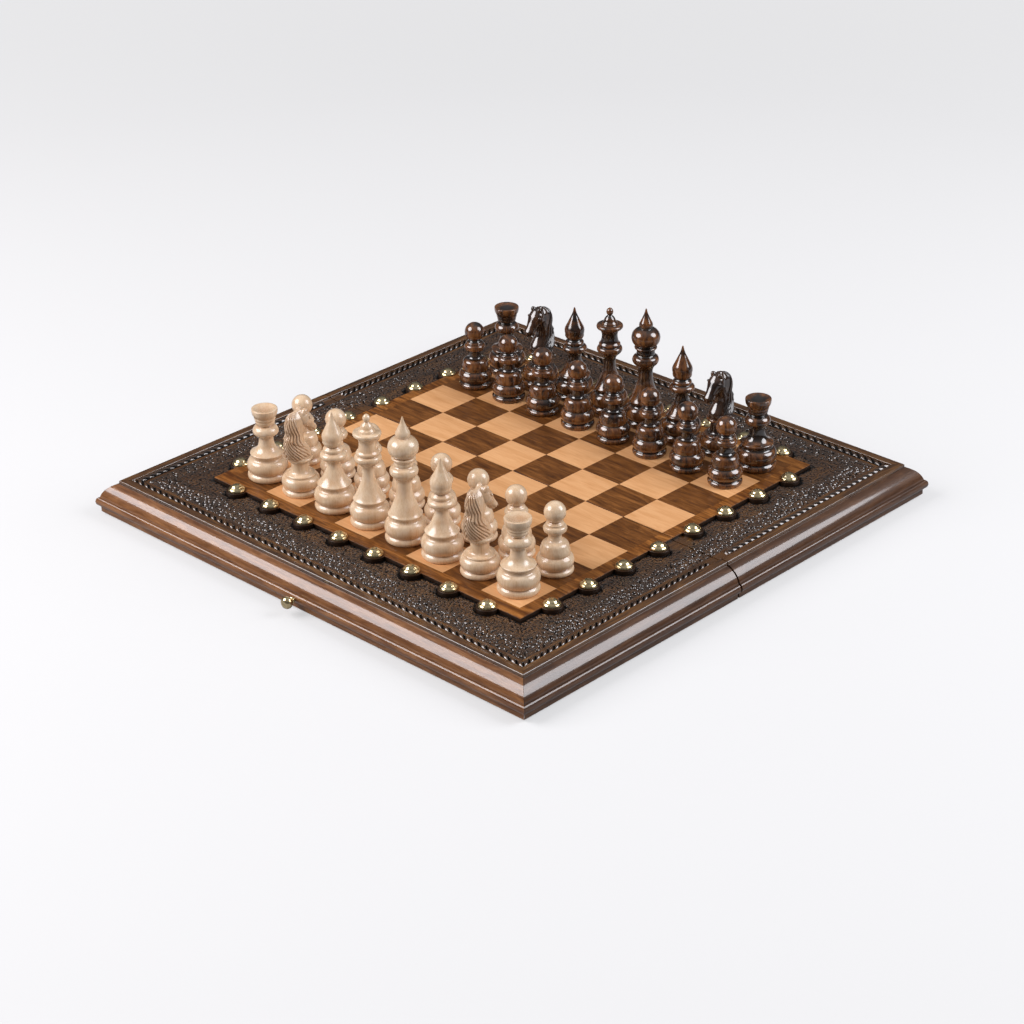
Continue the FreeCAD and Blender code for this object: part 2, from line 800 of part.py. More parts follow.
def latch_hook():
    """Flat hook on the rear knob, laid along the lip with its mouth down."""
    reach = "(2 * (knob_height + closing_gap / 2))"
    depth = "hook_thickness"
    slot = "(knob_pin_radius + hook_slot_clearance)"
    near = f"({LIP_EDGE} + hook_play)"
    eye = cylinder("hook_eye", "hook_eye_radius", depth, turn=ALONG_MINUS_Y)
    breadth = ("-hook_eye_radius", "hook_eye_radius")
    arm = box("hook_arm", ("0", reach), ("-hook_thickness", "0"), breadth)
    tail = cylinder("hook_end", "hook_tail", depth, reach, turn=ALONG_MINUS_Y)
    blank = fuse("hook_blank", [eye, arm, tail])
    bore = cylinder("hook_bore", "knob_pin_radius + hook_bore_clearance", depth, turn=ALONG_MINUS_Y)
    seat = cylinder("hook_seat", slot, depth, reach, turn=ALONG_MINUS_Y)
    mouth = box(
        "hook_mouth",
        (f"({reach} - {slot})", f"({reach} + {slot})"),
        ("-hook_thickness", "0"),
        ("-(hook_tail + hook_play)", "0"),
    )
    shape = cut("hook_shape", blank, [bore, seat, mouth])
    return place(group("latch_hook", [shape]), y=f"{near} + {depth}", z=KNOB_AXIS)


def upright_plate(name, corners, depth, turn, height):
    """A flat piece standing on edge: its outline turned upright and thickened both ways."""
    sketch = outline(doc.addObject("Sketcher::SketchObject", f"{name}_outline"), corners)
    place(sketch, z=height, turn=turn)
    piece = doc.addObject("Part::Extrusion", name)
    piece.Base = sketch
    piece.DirMode = "Normal"
    piece.Symmetric = True
    piece.Solid = True
    return bind(piece, LengthFwd=depth)


def knight():
    """A turned foot and the horse on it, carved to its side outline and its front outline."""
    foot = turning("knight")
    table = " + ".join(f"knight_{step}_rise" for step in TURNINGS["knight"])
    side = [(f"horse_{c}_forward", f"horse_{c}_height", f"horse_{c}_bow") for c in HORSE]
    facing_y = FreeCAD.Rotation(V(0, 1, 0), V(0, 0, 1), V(1, 0, 0), "XYZ")
    profile = upright_plate("horse_side", side, "2 * horse_width_chest", facing_y, table)
    right = [(f"horse_width_{w}", f"horse_width_{w}_height", None) for w in HORSE_WIDTHS]
    left = [(f"-{x}", z, None) for x, z, _ in reversed(right)]
    facing_x = FreeCAD.Rotation(V(1, 0, 0), V(0, 0, 1), V(0, -1, 0), "XYZ")
    reach = "2 * (horse_muzzle_forward - horse_mane_tip_forward)"
    front = upright_plate("horse_front", right + left, reach, facing_x, table)
    return fuse("carved_knight", [foot, common("horse", profile, front)])


def set_out_men():
    """Places every man: the white ones on the front half, the dark ones turned to face them."""
    patterns = {kind: turning(kind) for kind in TURNINGS if kind != "knight"}
    patterns["knight"] = knight()
    ranks = (
        ("white", 1, BACK_RANK, None),
        ("white", 2, PAWN_RANK, None),
        ("dark", 7, PAWN_RANK, HALF_TURN),
        ("dark", 8, BACK_RANK, HALF_TURN),
    )
    for colour, rank, kinds, turn in ranks:
        for i, kind in enumerate(kinds):
            label = f"{colour}_{kind}_{FILES[i]}{rank}"
            man = group(f"{label}_man", [patterns[kind]])
            place(man, f"({i} - 3.5) * square", f"({rank} - 4.5) * square", FIELD_TOP, turn)
            node(man, label)


squares = [inlay("light", i, j) for i, j in light_spots()]
light_wedges, dark_wedges = backgammon_points()
both_halves(case_rails(), "case_rails")
both_halves(fold_rail(), "fold_rail")
both_halves(core_panel(light_wedges + dark_wedges), "core_panel")
both_halves(carved_border(), "carved_border")
both_halves(edge_moulding(), "edge_moulding")
both_halves(field_plate(squares), "field_plate")
both_halves(group("light_squares", squares), "light_squares")
both_halves(studs(), "studs")
both_halves(group("light_points", light_wedges), "light_points")
both_halves(group("dark_points", dark_wedges), "dark_points")
both_halves(hinge_screws(), "hinge_screws")
both_halves(latch_knob(), "latch_knob")
node(hinge_leaves("front_leaf", (0, 2, 4)), "front_hinge_leaves")
node(rear_copy(hinge_leaves("rear_leaf", (1, 3)), "rear_leaf_copy"), "rear_hinge_leaves")
node(hinge_pins(), "hinge_pins")
node(latch_hook(), "latch_hook")
set_out_men()
doc.recompute()

for thing in doc.Objects:
    if "Invalid" in thing.State or "Error" in thing.State:
        raise RuntimeError(f"{thing.Label} failed: {thing.State}")
for piece in nodes:
    if piece.Shape.isNull() or not piece.Shape.isValid():
        raise RuntimeError(f"{piece.Label} has no valid shape")

os.makedirs("parts", exist_ok=True)
for piece in nodes:
    piece.Shape.exportStep(f"parts/{piece.Label}.step")
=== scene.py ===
"""Looks of the folding chess and backgammon board: its woods, brass, carving and turned men."""
import math

import bpy
import numpy as np
from mathutils import Matrix, Vector


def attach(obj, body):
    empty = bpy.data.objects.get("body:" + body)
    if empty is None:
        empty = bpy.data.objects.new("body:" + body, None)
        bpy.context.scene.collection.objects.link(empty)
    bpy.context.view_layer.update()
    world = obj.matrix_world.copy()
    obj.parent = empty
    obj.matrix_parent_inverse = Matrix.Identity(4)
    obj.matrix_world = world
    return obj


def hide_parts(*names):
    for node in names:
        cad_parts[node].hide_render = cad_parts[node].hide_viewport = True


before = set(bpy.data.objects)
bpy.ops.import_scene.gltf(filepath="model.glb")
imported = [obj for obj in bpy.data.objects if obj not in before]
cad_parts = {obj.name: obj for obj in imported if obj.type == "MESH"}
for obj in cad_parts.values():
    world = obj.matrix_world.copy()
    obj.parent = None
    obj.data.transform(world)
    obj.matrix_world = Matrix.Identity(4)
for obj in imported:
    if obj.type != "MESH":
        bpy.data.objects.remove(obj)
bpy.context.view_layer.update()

# Sizes of the case in millimetres.
MM = 0.001
SQUARE = 33.3
FIELD_EDGE = 142.4
FIELD_TOP = 25.65
PANEL_TOP = 20.15
CASE_EDGE = 187.8
LIP_EDGE = 200.0
RIM = 1.65
FOLD_FACE = 0.4
STUD_LINE = 144.6
TAB_RADIUS = 7.2
KNOB_AXIS = 8.95
MITRE_SEAM = 0.12
MOULDING_FOLD = 0.7
FOOT_GAP = 0.05
PLATE_FOOT = 22.3
PLATE_ROUND = 0.45
LEAST_RADIUS = 0.02
FLAT = 1e-6


# Turned profiles from the foot up: radius reached, rise to it, and how far the line bows out.
def foot(reach, ring, bulge):
    """Foot ring, groove, round bulge, cove and the round edge of the bell above."""
    return [
        (reach - 1.0, 0, 0), (reach - 1.5, ring, 1.0), (reach - 2.0, 0.3, 0),
        (reach - 2.2, bulge, 1.95), (reach - 2.8, 0.2, 0), (reach - 3.0, 3.2, -0.9),
        (reach - 3.3, 1.4, 0.5),
    ]


TURNINGS = {
    "king": foot(14.0, 4.5, 9.8) + [
        (6.6, 9.6, -0.15), (5.1, 8.0, -0.35), (5.1, 3.0, 0), (7.4, 5.2, -0.75), (8.6, 1.4, 0),
        (8.5, 4.6, 0.75), (6.9, 0.9, 0.1), (6.0, 0.9, -0.1), (6.2, 2.2, 0.3), (5.9, 0.4, 0),
        (6.9, 1.2, 0.1), (7.5, 0.4, 0), (7.6, 1.5, 0.35), (6.3, 0.4, 0), (6.4, 0.5, 0),
        (7.6, 0.4, 0), (5.2, 12.2, 3.55),
        (4.3, 0.3, 0), (4.6, 1.0, 0.1), (4.4, 2.8, 0.35), (2.2, 4.6, -0.05), (0.5, 5.4, -0.2),
        (0, 0.4, 0.1),
    ],
    "queen": foot(13.5, 4.5, 9.2) + [
        (6.0, 9.2, -0.2), (4.1, 7.6, -0.4), (4.1, 2.8, 0), (6.8, 5.2, -0.7), (8.2, 1.4, 0),
        (8.2, 3.9, 0.8), (7.0, 0.5, 0), (6.9, 2.6, 0.7), (6.4, 0.3, 0), (5.5, 4.7, -0.15),
        (6.1, 3.2, -0.2), (8.7, 2.6, -0.35), (9.2, 2.1, 0.4), (8.3, 0.6, 0.25), (5.6, 0.1, -0.1),
        (4.9, 1.9, 0.25), (4.3, 0.3, 0), (1.7, 4.3, 0.6), (1.4, 0.4, 0), (0, 5.4, 1.75),
    ],
    "bishop": foot(14.0, 4.3, 9.2) + [
        (5.9, 8.2, -0.6), (4.6, 3.6, -0.15), (4.5, 1.8, 0), (6.6, 3.0, -0.6), (8.3, 1.3, -0.1),
        (8.4, 2.8, 0.5), (6.5, 1.3, 0.1), (6.3, 0.3, 0), (6.2, 2.4, 0.45), (5.0, 0.8, 0.05),
        (4.6, 0.9, 0), (6.6, 3.9, 0.9), (6.7, 4.7, 0.4), (3.1, 7.4, -0.05), (0.6, 7.2, -0.35),
        (0, 0.6, 0.15),
    ],
    "rook": foot(14.0, 4.5, 9.2) + [
        (5.4, 5.8, -1.0), (4.9, 4.2, -0.1), (6.6, 2.6, -0.6), (8.3, 1.1, 0), (8.3, 3.4, 0.5),
        (6.0, 2.2, 0.3), (5.1, 0.4, 0), (6.7, 3.1, 0.5), (6.4, 0.3, 0), (7.3, 1.8, 0.2),
        (7.0, 0.3, 0), (7.8, 1.8, 0.15), (8.3, 0.4, 0), (8.8, 3.8, 0.2), (8.3, 0.5, 0.2),
        (7.5, 0, 0), (0, -2.4, -0.6),
    ],
    "pawn": foot(12.2, 3.6, 8.2)[:-3] + [
        (9.4, 0.4, 0), (9.0, 5.3, 0.5), (6.2, 3.5, 0.75), (4.4, 1.9, -0.35), (4.1, 3.6, -0.05),
        (6.6, 1.2, -0.1), (6.7, 4.3, 1.0), (5.6, 0.4, 0), (5.5, 1.4, 0.35), (4.4, 0.6, 0),
        (4.0, 0.8, 0), (0, 12.97, 5.0),
    ],
    "knight": foot(13.1, 4.0, 8.2)[:-2] + [
        (10.0, 0.1, 0), (9.6, 1.6, 0.5), (6.7, 1.1, -0.3), (6.0, 2.6, -0.25), (6.0, 4.2, 0),
        (7.5, 1.6, -0.35), (8.4, 0.5, 0), (8.4, 2.0, 0.45), (0, 0, 0),
    ],
}
BACK_RANK = ("rook", "knight", "bishop", "queen", "king", "bishop", "knight", "rook")
PAWNS = ("pawn",) * 8
FILES = "abcdefgh"

# Painted shade on the men: how far round a groove or a waist is looked for, and how dark a dish is
# painted.
GROOVE_REACH = 1.3
WAIST_REACH = 5.0
DISH_SHADE = 0.5


# Surfaces: each is an array of points in millimetres with a list of face arrays.
def ring_quads(rows, columns):
    """Quads between neighbouring rows of a grid whose columns close into a ring."""
    i = np.arange(rows - 1)[:, None] * columns
    j = np.arange(columns)[None, :]
    k = (j + 1) % columns
    return np.stack([i + j, i + k, i + columns + k, i + columns + j], -1).reshape(-1, 4)


def outward(points, faces):
    """Turns all faces over if the volume that they enclose, summed as fans, comes out negative."""
    volume = 0.0
    for face in map(np.atleast_2d, faces):
        first = points[face[:, 0]]
        for n in range(1, face.shape[1] - 1):
            area = np.cross(points[face[:, n]], points[face[:, n + 1]])
            volume += np.einsum("ij,ij->", first, area)
    if volume < 0:
        faces = [face[..., ::-1] for face in faces]
    return points, faces


def tube(grid):
    """A grid of rings, shaped (rings, around, 3), closed at both ends by a flat face."""
    rows, columns = grid.shape[:2]
    last = (rows - 1) * columns
    ends = [np.arange(columns)[::-1], last + np.arange(columns)]
    return outward(grid.reshape(-1, 3), [ring_quads(rows, columns)] + ends)


def turned(radius, height, turns=56):
    """Each radius carried round the upright axis at its height; fans close foot and top."""
    angle = np.linspace(0, 2 * np.pi, turns, endpoint=False)
    x = np.outer(radius, np.cos(angle))
    y = np.outer(radius, np.sin(angle))
    z = np.repeat(height[:, None], turns, 1)
    points = np.stack([x, y, z], -1).reshape(-1, 3)
    poles = np.array([[0, 0, height[0]], [0, 0, height[-1]]])
    pole = len(points)
    j = np.arange(turns)
    k = (j + 1) % turns
    last = pole - turns
    fans = [
        np.stack([np.full(turns, pole), k, j], -1),
        np.stack([np.full(turns, pole + 1), last + j, last + k], -1),
    ]
    return np.concatenate([points, poles]), [ring_quads(len(radius), turns)] + fans


def arc(start, end, bow, count=24):
    """Circular arc between two points; it bows to the right of the way by the given height."""
    chord = end - start
    half = np.hypot(*chord) / 2
    if abs(bow) < FLAT or half < FLAT:
        return np.stack([start, end])
    along = chord / (2 * half)
    across = np.array([along[1], -along[0]]) * np.sign(bow)
    radius = (half * half + bow * bow) / (2 * abs(bow))
    swing = 2 * math.atan2(abs(bow), half)
    turn = np.linspace(-swing, swing, count)[:, None]
    sweep = radius * np.sin(turn) * along
    rise = (radius * np.cos(turn) - radius + abs(bow)) * across
    return (start + end) / 2 + sweep + rise


def bowed(steps, soft=0.2, count=100):
    """Lathe profile from steps of radius, rise and bow, with its corners softened.

    The arcs are joined, walked at even spacing and averaged with a bell curve. The points kept
    lie evenly by length plus twice the turning, so that curves get more of them.
    """
    corner = np.zeros(2)
    pieces = []
    for radius, rise, bow in steps:
        after = np.array([radius, corner[1] + rise])
        pieces.append(arc(corner, after, bow))
        corner = after
    line = np.concatenate(pieces)
    gone = np.concatenate([[0], np.cumsum(np.hypot(*np.diff(line, axis=0).T))])
    step = 0.1
    walk = np.arange(0, gone[-1], step)
    even = np.stack([np.interp(walk, gone, line[:, n]) for n in (0, 1)])
    reach = int(4 * soft / step)
    bell = np.exp(-0.5 * (np.arange(-reach, reach + 1) * step / soft) ** 2)
    bell /= bell.sum()
    mirror = np.array([[-1.0], [1.0]])
    padded = np.concatenate(
        [even[:, reach:0:-1] * mirror, even, even[:, -2:-reach - 2:-1] * mirror], 1
    )
    smooth = np.stack([np.convolve(row, bell, "valid") for row in padded])
    heading = np.unwrap(np.arctan2(*np.diff(smooth)[::-1]))
    turning = np.concatenate([[0], np.abs(np.diff(heading)), [0]])
    spread = np.cumsum(step + 2.0 * turning)
    keep = np.linspace(spread[0], spread[-1], count)
    radius, height = (np.interp(keep, spread, row) for row in smooth)
    off_axis = radius > LEAST_RADIUS
    return radius[off_axis], height[off_axis]


def in_grooves(radius, height, reach):
    """How far each ring lies inside the profile's own average, weighted with a bell curve.

    It grows from a tenth of a millimetre inwards to three quarters, and fades out near both ends.
    """
    gone = np.concatenate([[0], np.cumsum(np.hypot(np.diff(radius), np.diff(height)))])
    near = np.exp(-0.5 * ((gone[:, None] - gone[None, :]) / reach) ** 2) * np.gradient(gone)
    average = near @ radius / near.sum(1)
    depth = np.clip((average - radius - 0.1) / 0.8, 0, 0.75)
    from_end = np.minimum(gone, gone[-1] - gone)
    return depth * ease(1.0, 5.0, from_end)


def man_turned(steps, turns=56):
    """A turned man and, for each of its points, how deep it lies in a groove, a dish or a waist, for
    its painted shade.
    """
    radius, height = bowed(steps)
    sunk = np.maximum.accumulate(height) - height
    dish = DISH_SHADE * ease(0.4, 2.2, sunk)
    deep = np.maximum(in_grooves(radius, height, GROOVE_REACH), dish)
    waist = in_grooves(radius, height, WAIST_REACH)
    values = {}
    for label, rings in (("hollow", deep), ("waist", waist)):
        values[label] = np.concatenate([np.repeat(rings, turns), rings[[0, -1]]])
    return turned(radius, height, turns), values


def shifted(part, x=0.0, y=0.0, z=0.0, half_turn=False):
    """A surface moved by an offset, turned half round the upright axis first if asked."""
    points, faces = part
    flip = np.array([-1, -1, 1]) if half_turn else np.ones(3)
    return points * flip + np.array([x, y, z]), faces


def piece(name, parts, material, body, stands_for, crease=None, values=None):
    """One mesh of several surfaces, riding on its body in the place of its CAD node."""
    starts = np.cumsum([0] + [len(points) for points, _ in parts])
    points = np.concatenate([points for points, _ in parts]) * MM
    faces = [np.atleast_2d(f) + s for (_, fs), s in zip(parts, starts) for f in fs]
    corners = np.concatenate([face.ravel() for face in faces])
    sizes = np.concatenate([np.full(len(face), face.shape[1]) for face in faces])
    mesh = bpy.data.meshes.new(name)
    mesh.vertices.add(len(points))
    mesh.vertices.foreach_set("co", points.ravel())
    mesh.loops.add(len(corners))
    mesh.loops.foreach_set("vertex_index", corners)
    mesh.polygons.add(len(sizes))
    mesh.polygons.foreach_set("loop_start", np.cumsum(sizes) - sizes)
    mesh.polygons.foreach_set("loop_total", sizes)
    mesh.polygons.foreach_set("use_smooth", np.ones(len(sizes), bool))
    mesh.update(calc_edges=True)
    mesh.validate()
    if crease:
        mesh.set_sharp_from_angle(angle=math.radians(crease))
    for label, amounts in (values or {}).items():
        layer = mesh.attributes.new(label, "FLOAT", "POINT")
        layer.data.foreach_set("value", amounts)
    mesh.materials.append(material)
    thing = bpy.data.objects.new(name, mesh)
    bpy.context.scene.collection.objects.link(thing)
    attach(thing, body)
    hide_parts(*stands_for)


# Noise on the board, in millimetres.
def scatter(cells, seed):
    """A repeatable pair of numbers from nothing to one for each whole-number cell."""
    mixed = np.sin(cells[..., 0] * 127.1 + cells[..., 1] * 311.7 + seed) * 43758.5453
    other = np.sin(cells[..., 0] * 269.5 + cells[..., 1] * 183.3 + seed) * 24634.6345
    return np.stack([mixed - np.floor(mixed), other - np.floor(other)], -1)


def pebbles(x, y, pitch, seed):
    """Round bumps, one in each cell at a random spot in its middle part.

    The height is one minus the squared distance to the nearest spot over that of a bump's edge.
    """
    spot = np.stack([x, y], -1) / pitch
    cell = np.floor(spot)
    nearest = np.full(x.shape, 9.0)
    for dx in (-1, 0, 1):
        for dy in (-1, 0, 1):
            at = cell + (dx, dy)
            gap = at + 0.15 + 0.7 * scatter(at, seed) - spot
            nearest = np.minimum(nearest, (gap ** 2).sum(-1))
    return np.clip(1 - nearest / PEBBLE_EDGE, 0, 1)


def drift(x, y, pitch, seed):
    """Slow smooth noise from nothing to one: random corner values eased across each cell."""
    spot = np.stack([x, y], -1) / pitch
    cell = np.floor(spot)
    f = spot - cell
    f = f * f * (3 - 2 * f)
    corner = {(i, j): scatter(cell + (i, j), seed)[..., 0] for i in (0, 1) for j in (0, 1)}
    low = corner[0, 0] * (1 - f[..., 0]) + corner[1, 0] * f[..., 0]
    high = corner[0, 1] * (1 - f[..., 0]) + corner[1, 1] * f[..., 0]
    return low * (1 - f[..., 1]) + high * f[..., 1]


def ease(low, high, value):
    """Rises smoothly from nothing at low to one at high."""
    t = np.clip((value - low) / (high - low), 0, 1)
    return t * t * (3 - 2 * t)


# Mitred frames of three lengths in each half.
SIDES = {
    "outer": ((0, -1), (1, 0)),
    "right": ((1, 0), (0, 1)),
    "left": ((-1, 0), (0, -1)),
}


def along_side(side, out, share, fold=FOLD_FACE):
    """X and Y on one side: out from the middle, and a share of the way between its two ends.

    The front side ends on both mitres, where the run equals the distance out. The others end on
    one mitre and at the fold.
    """
    (ox, oy), (rx, ry) = SIDES[side]
    low = -out + MITRE_SEAM
    high = out - MITRE_SEAM
    if side == "right":
        high = np.full_like(out, -fold)
    if side == "left":
        low = np.full_like(out, fold)
    run = low + (high - low) * share
    return out * ox + run * rx, out * oy + run * ry


def moulding_section():
    """Closed outline of the edge moulding as (outwards, up): plinth, lip, quirk, ovolo."""
    points = [np.array(p, float) for p in (
        (0, 0), (9.6, 0), (9.6, 4.4), (10.5, 4.4), (11.0, 4.55), (11.0, 10.05), (10.5, 10.2),
        (9.6, 10.2), (9.6, 10.5), (9.9, 10.5), (0.3, 20.3), (0, 20.3),
    )]
    bows = {5: 1.15, 10: 1.75}
    return np.concatenate([
        arc(points[n - 1], points[n], bows.get(n, 0), 26)[1:] for n in range(len(points))
    ])


def edge_mouldings():
    """The moulding's outline carried along each side, between its mitres and the fold."""
    section = moulding_section()
    share = np.linspace(0, 1, 3)[:, None]
    for side in SIDES:
        x, y = along_side(side, CASE_EDGE + section[None, :, 0] + 0 * share, share, MOULDING_FOLD)
        z = np.broadcast_to(RIM + section[None, :, 1], x.shape)
        yield side, tube(np.stack([x, y, z], -1))


# Border board: distances out from the field plate and heights over the core panel.
GROUND = 2.8
STRIP = (31.7, 33.7)
ROPE = (33.9, 38.7, 2.1)
RIM_BAND = (39.0, 45.4)
ROPE_PITCH = {"outer": -6.2, "right": 5.4, "left": 6.0}
PLAIN_ROPE_END = 9.0
FINE_PITCH, FINE_HEIGHT = 1.6, 0.65
COARSE_PITCH, COARSE_HEIGHT = 2.0, 1.1
PEBBLE_EDGE = 0.42
REST_RADIUS = 12.0
CARVING_SEED = {"front": 12.0, "rear": 40.0}


def stud_spots():
    """Middles of the studs of the front half, one beside each square on its three edges."""
    sides = [(sx * STUD_LINE, -(j + 0.5) * SQUARE) for sx in (-1, 1) for j in range(4)]
    return sides + [((i - 3.5) * SQUARE, -STUD_LINE) for i in range(8)]


def to_plate(x, y, out):
    """Distance from the plate's edge: the lesser of the way out and the gap to the nearest tab."""
    spots = np.array(stud_spots())
    gap = np.hypot(x[..., None] - spots[:, 0], y[..., None] - spots[:, 1]).min(-1) - TAB_RADIUS
    return np.minimum(out, gap)


def border_board(side, seed):
    """One carved board with how deep, how plain and how rubbed each point is; depth and rubbing also
    carry painted shade.

    Across, the outline goes over ground, plain strip, rope and rim band, then round below. On the
    ground lie round punch bumps, fine by the field and coarse further out. The rope is a half
    round whose height swings with the run plus a slant across. Smooth half-round rests at the
    fold stay free of bumps.
    """
    ground = np.linspace(0, STRIP[0], 66)[:-1]
    strip = np.linspace(STRIP[0], STRIP[1], 7)
    rope = np.linspace(ROPE[0], ROPE[1], 17)
    band_out = RIM_BAND[0] + np.array([0, 0.05, 0.2, 0.5, 2.0, 5.4, 5.8, 6.05, 6.25, 6.35, 6.4])
    band_up = np.array([2.2, 3.9, 4.2, 4.3, 4.3, 4.3, 4.27, 4.18, 4.02, 3.8, 3.5])
    out = np.concatenate([ground, strip, rope, band_out, [RIM_BAND[1], 0.0]])
    across = (rope - ROPE[0]) / (ROPE[1] - ROPE[0]) * 2 - 1
    arch = np.sqrt(np.clip(1 - across ** 2, 0, 1))
    flat = np.full(len(ground) + len(strip), GROUND)
    up = np.concatenate([flat, np.full(rope.shape, GROUND + 0.2), band_up, [0.0, 0.0]])
    stations = 760 if side == "outer" else 400
    share = np.linspace(0, 1, stations)[:, None]
    x, y = along_side(side, FIELD_EDGE + out[None, :] + 0 * share, share)
    z = np.repeat(up[None, :], stations, 0)
    run = x if side == "outer" else y
    to_fold = np.full(x.shape, 99.0) if side == "outer" else np.abs(y) - FOLD_FACE
    hollow = np.zeros(x.shape)
    plain = np.ones(x.shape)
    wear_and_shade = np.zeros(x.shape)

    n = len(ground)
    gx, gy, gu = x[:, :n], y[:, :n], np.broadcast_to(ground, (stations, n))
    coarse = ease(11, 19, gu + 9 * (drift(gx, gy, 17.0, seed) - 0.5))
    small = pebbles(gx, gy, FINE_PITCH, seed + 3)
    large = pebbles(gx, gy, COARSE_PITCH, seed + 7)
    rest = ease(1.4, -1.4, np.hypot(gu, to_fold[:, :n]) - REST_RADIUS)
    # Painted shade beside the raised plate and round its tabs: there the ground is darkened and left
    # unrubbed, as well as sunk.
    near = ease(3.4, 0.9, to_plate(gx, gy, gu) + 2.2 * drift(gx, gy, 2.5, seed + 9) - 0.9)
    bumps = FINE_HEIGHT * small * (1 - coarse) + COARSE_HEIGHT * large * coarse
    z[:, :n] += (bumps - 0.55 * near - 0.5 * coarse) * (1 - rest) + 0.45 * rest
    tops = small * (1 - coarse) + large * coarse
    # Near black between the bumps: dark staining with painted shade; beside the plate, painted shade.
    hollow[:, :n] = np.maximum(1 - tops, near) * (1 - rest)
    plain[:, :n] = rest
    # Less rubbed beside the plate: painted shade.
    wear_and_shade[:, :n] = (1 - 0.35 * coarse) * (0.3 + 0.5 * drift(gx, gy, 8.0, seed + 5)) * (1 - near)

    r = slice(n + len(strip), n + len(strip) + len(rope))
    plain_end = ease(PLAIN_ROPE_END + 0.5, PLAIN_ROPE_END - 0.5, to_fold[:, r])
    twist = np.abs(np.sin(np.pi * (run[:, r] / ROPE_PITCH[side] + 0.5 * across)))
    z[:, r] += (ROPE[2] * arch * twist ** 0.6 - 0.4) * (1 - plain_end)
    # Near black in the gaps between the rope's beads: dark staining with painted shade.
    hollow[:, r] = (1.15 - twist * arch ** 0.5) * (1 - plain_end)
    plain[:, r] = plain_end
    wear_and_shade[:, r] = 0.45 * twist
    points, faces = tube(np.stack([x, y, PANEL_TOP + z], -1))
    values = {"hollow": hollow.ravel(), "plain": plain.ravel(), "wear_and_shade": wear_and_shade.ravel()}
    return (points, faces), values


def field_outline():
    """Plate edge of the front half as X and Y: straight runs with a round tab at every stud."""
    swing = math.acos((FIELD_EDGE - STUD_LINE) / TAB_RADIUS)
    turn = np.linspace(-swing, swing, 25)
    along = (np.arange(4)[::-1] + 0.5) * -SQUARE
    wide = (np.arange(8) - 3.5) * SQUARE
    out = STUD_LINE + TAB_RADIUS * np.cos(turn)
    off = TAB_RADIUS * np.sin(turn)
    left = np.stack([-np.tile(out, 4), (along[::-1][:, None] * np.ones(25) - off).ravel()], -1)
    front = np.stack([(wide[:, None] + off).ravel(), -np.tile(out, 8)], -1)
    right = np.stack([np.tile(out, 4), (along[:, None] + off).ravel()], -1)
    corner = [[-FIELD_EDGE, -FIELD_EDGE]], [[FIELD_EDGE, -FIELD_EDGE]]
    fold = [[-FIELD_EDGE, -FOLD_FACE]], [[FIELD_EDGE, -FOLD_FACE]]
    return np.concatenate([fold[0], left, corner[0], front, corner[1], right, fold[1]])


def field_plate():
    """The plate's edge outline set in and raised along a quarter round, with flat faces closing it."""
    path = field_outline()
    ahead = np.roll(path, -1, 0) - path
    ahead /= np.linalg.norm(ahead, axis=1, keepdims=True)
    normal = np.stack([ahead[:, 1], -ahead[:, 0]], -1)
    before = np.roll(normal, 1, 0)
    mitre = (normal + before) / (1 + (normal * before).sum(1, keepdims=True))
    turn = np.linspace(0, np.pi / 2, 5)
    inset = np.concatenate([[0], PLATE_ROUND * (1 - np.cos(turn))])
    height = np.concatenate([[PLATE_FOOT], FIELD_TOP - PLATE_ROUND * (1 - np.sin(turn))])
    rings = path[None] - mitre[None] * inset[:, None, None]
    z = np.broadcast_to(height[:, None, None], rings.shape[:2] + (1,))
    return tube(np.concatenate([rings, z], -1))


def light_tile(i, j):
    """One light square with a fine eased edge, a hair above the plate."""
    gap = 0.04
    low = np.array([(i - 4) * SQUARE + gap, (j - 4) * SQUARE + gap])
    high = np.array([(i - 3) * SQUARE - gap, (j - 3) * SQUARE - gap if j < 3 else -FOLD_FACE])
    ring = np.array([[low[0], low[1]], [high[0], low[1]], [high[0], high[1]], [low[0], high[1]]])
    middle = (low + high) / 2
    inward = np.sign(middle - ring)
    inset = np.array([0, 0, 0.1])[:, None, None]
    level = np.broadcast_to(np.array([-0.6, 0.01, 0.03])[:, None, None] + FIELD_TOP, (3, 4, 1))
    return tube(np.concatenate([ring[None] + inward[None] * inset, level], -1))


def stud_dome():
    """Domed nail head: a rounded brim, a fine groove, then a round cap to its top."""
    steps = [(5.8, 0, 0), (5.8, 0.5, 0.1), (4.3, 1.6, 0.25), (4.0, 0.1, 0), (0, 1.8, 0.7)]
    return turned(*bowed(steps, 0.12, 36), turns=44)


def knob():
    """Pin, collar and ball, turned about the axis that points out of the front edge."""
    pin = [(1.6, 0, 0), (1.6, 1.6, 0)]
    collar = [(2.3, 0.3, 0), (2.3, 0.7, 0.15), (1.7, 0.5, 0)]
    ball = [(0, 6.15, 3.3)]
    points, faces = turned(*bowed(pin + collar + ball, 0.1, 60), turns=40)
    x, y, z = points.T
    return np.stack([x, -(LIP_EDGE - 0.4 + z), KNOB_AXIS + y], -1), faces


# The knight's horse, facing along +Y, over its turned foot; its carved wood is darker all over.
BARE_CARVING = 0.26
HORSE_STAIN = 0.6
STRANDS = 11
HORSE_STRETCH = (1.12, 1.1, 1.0)


def smooth_through(places, amounts, at, soft=1.0):
    """Values joined through given places and averaged with a bell curve of the given width."""
    fine = np.linspace(places[0] - 4 * soft, places[-1] + 4 * soft, 800)
    rough = np.interp(fine, places, amounts)
    reach = np.arange(-60, 61) * (fine[1] - fine[0])
    bell = np.exp(-0.5 * (reach / soft) ** 2)
    padded = np.pad(rough, 60, mode="edge")
    return np.interp(at, fine, np.convolve(padded, bell / bell.sum(), "valid"))


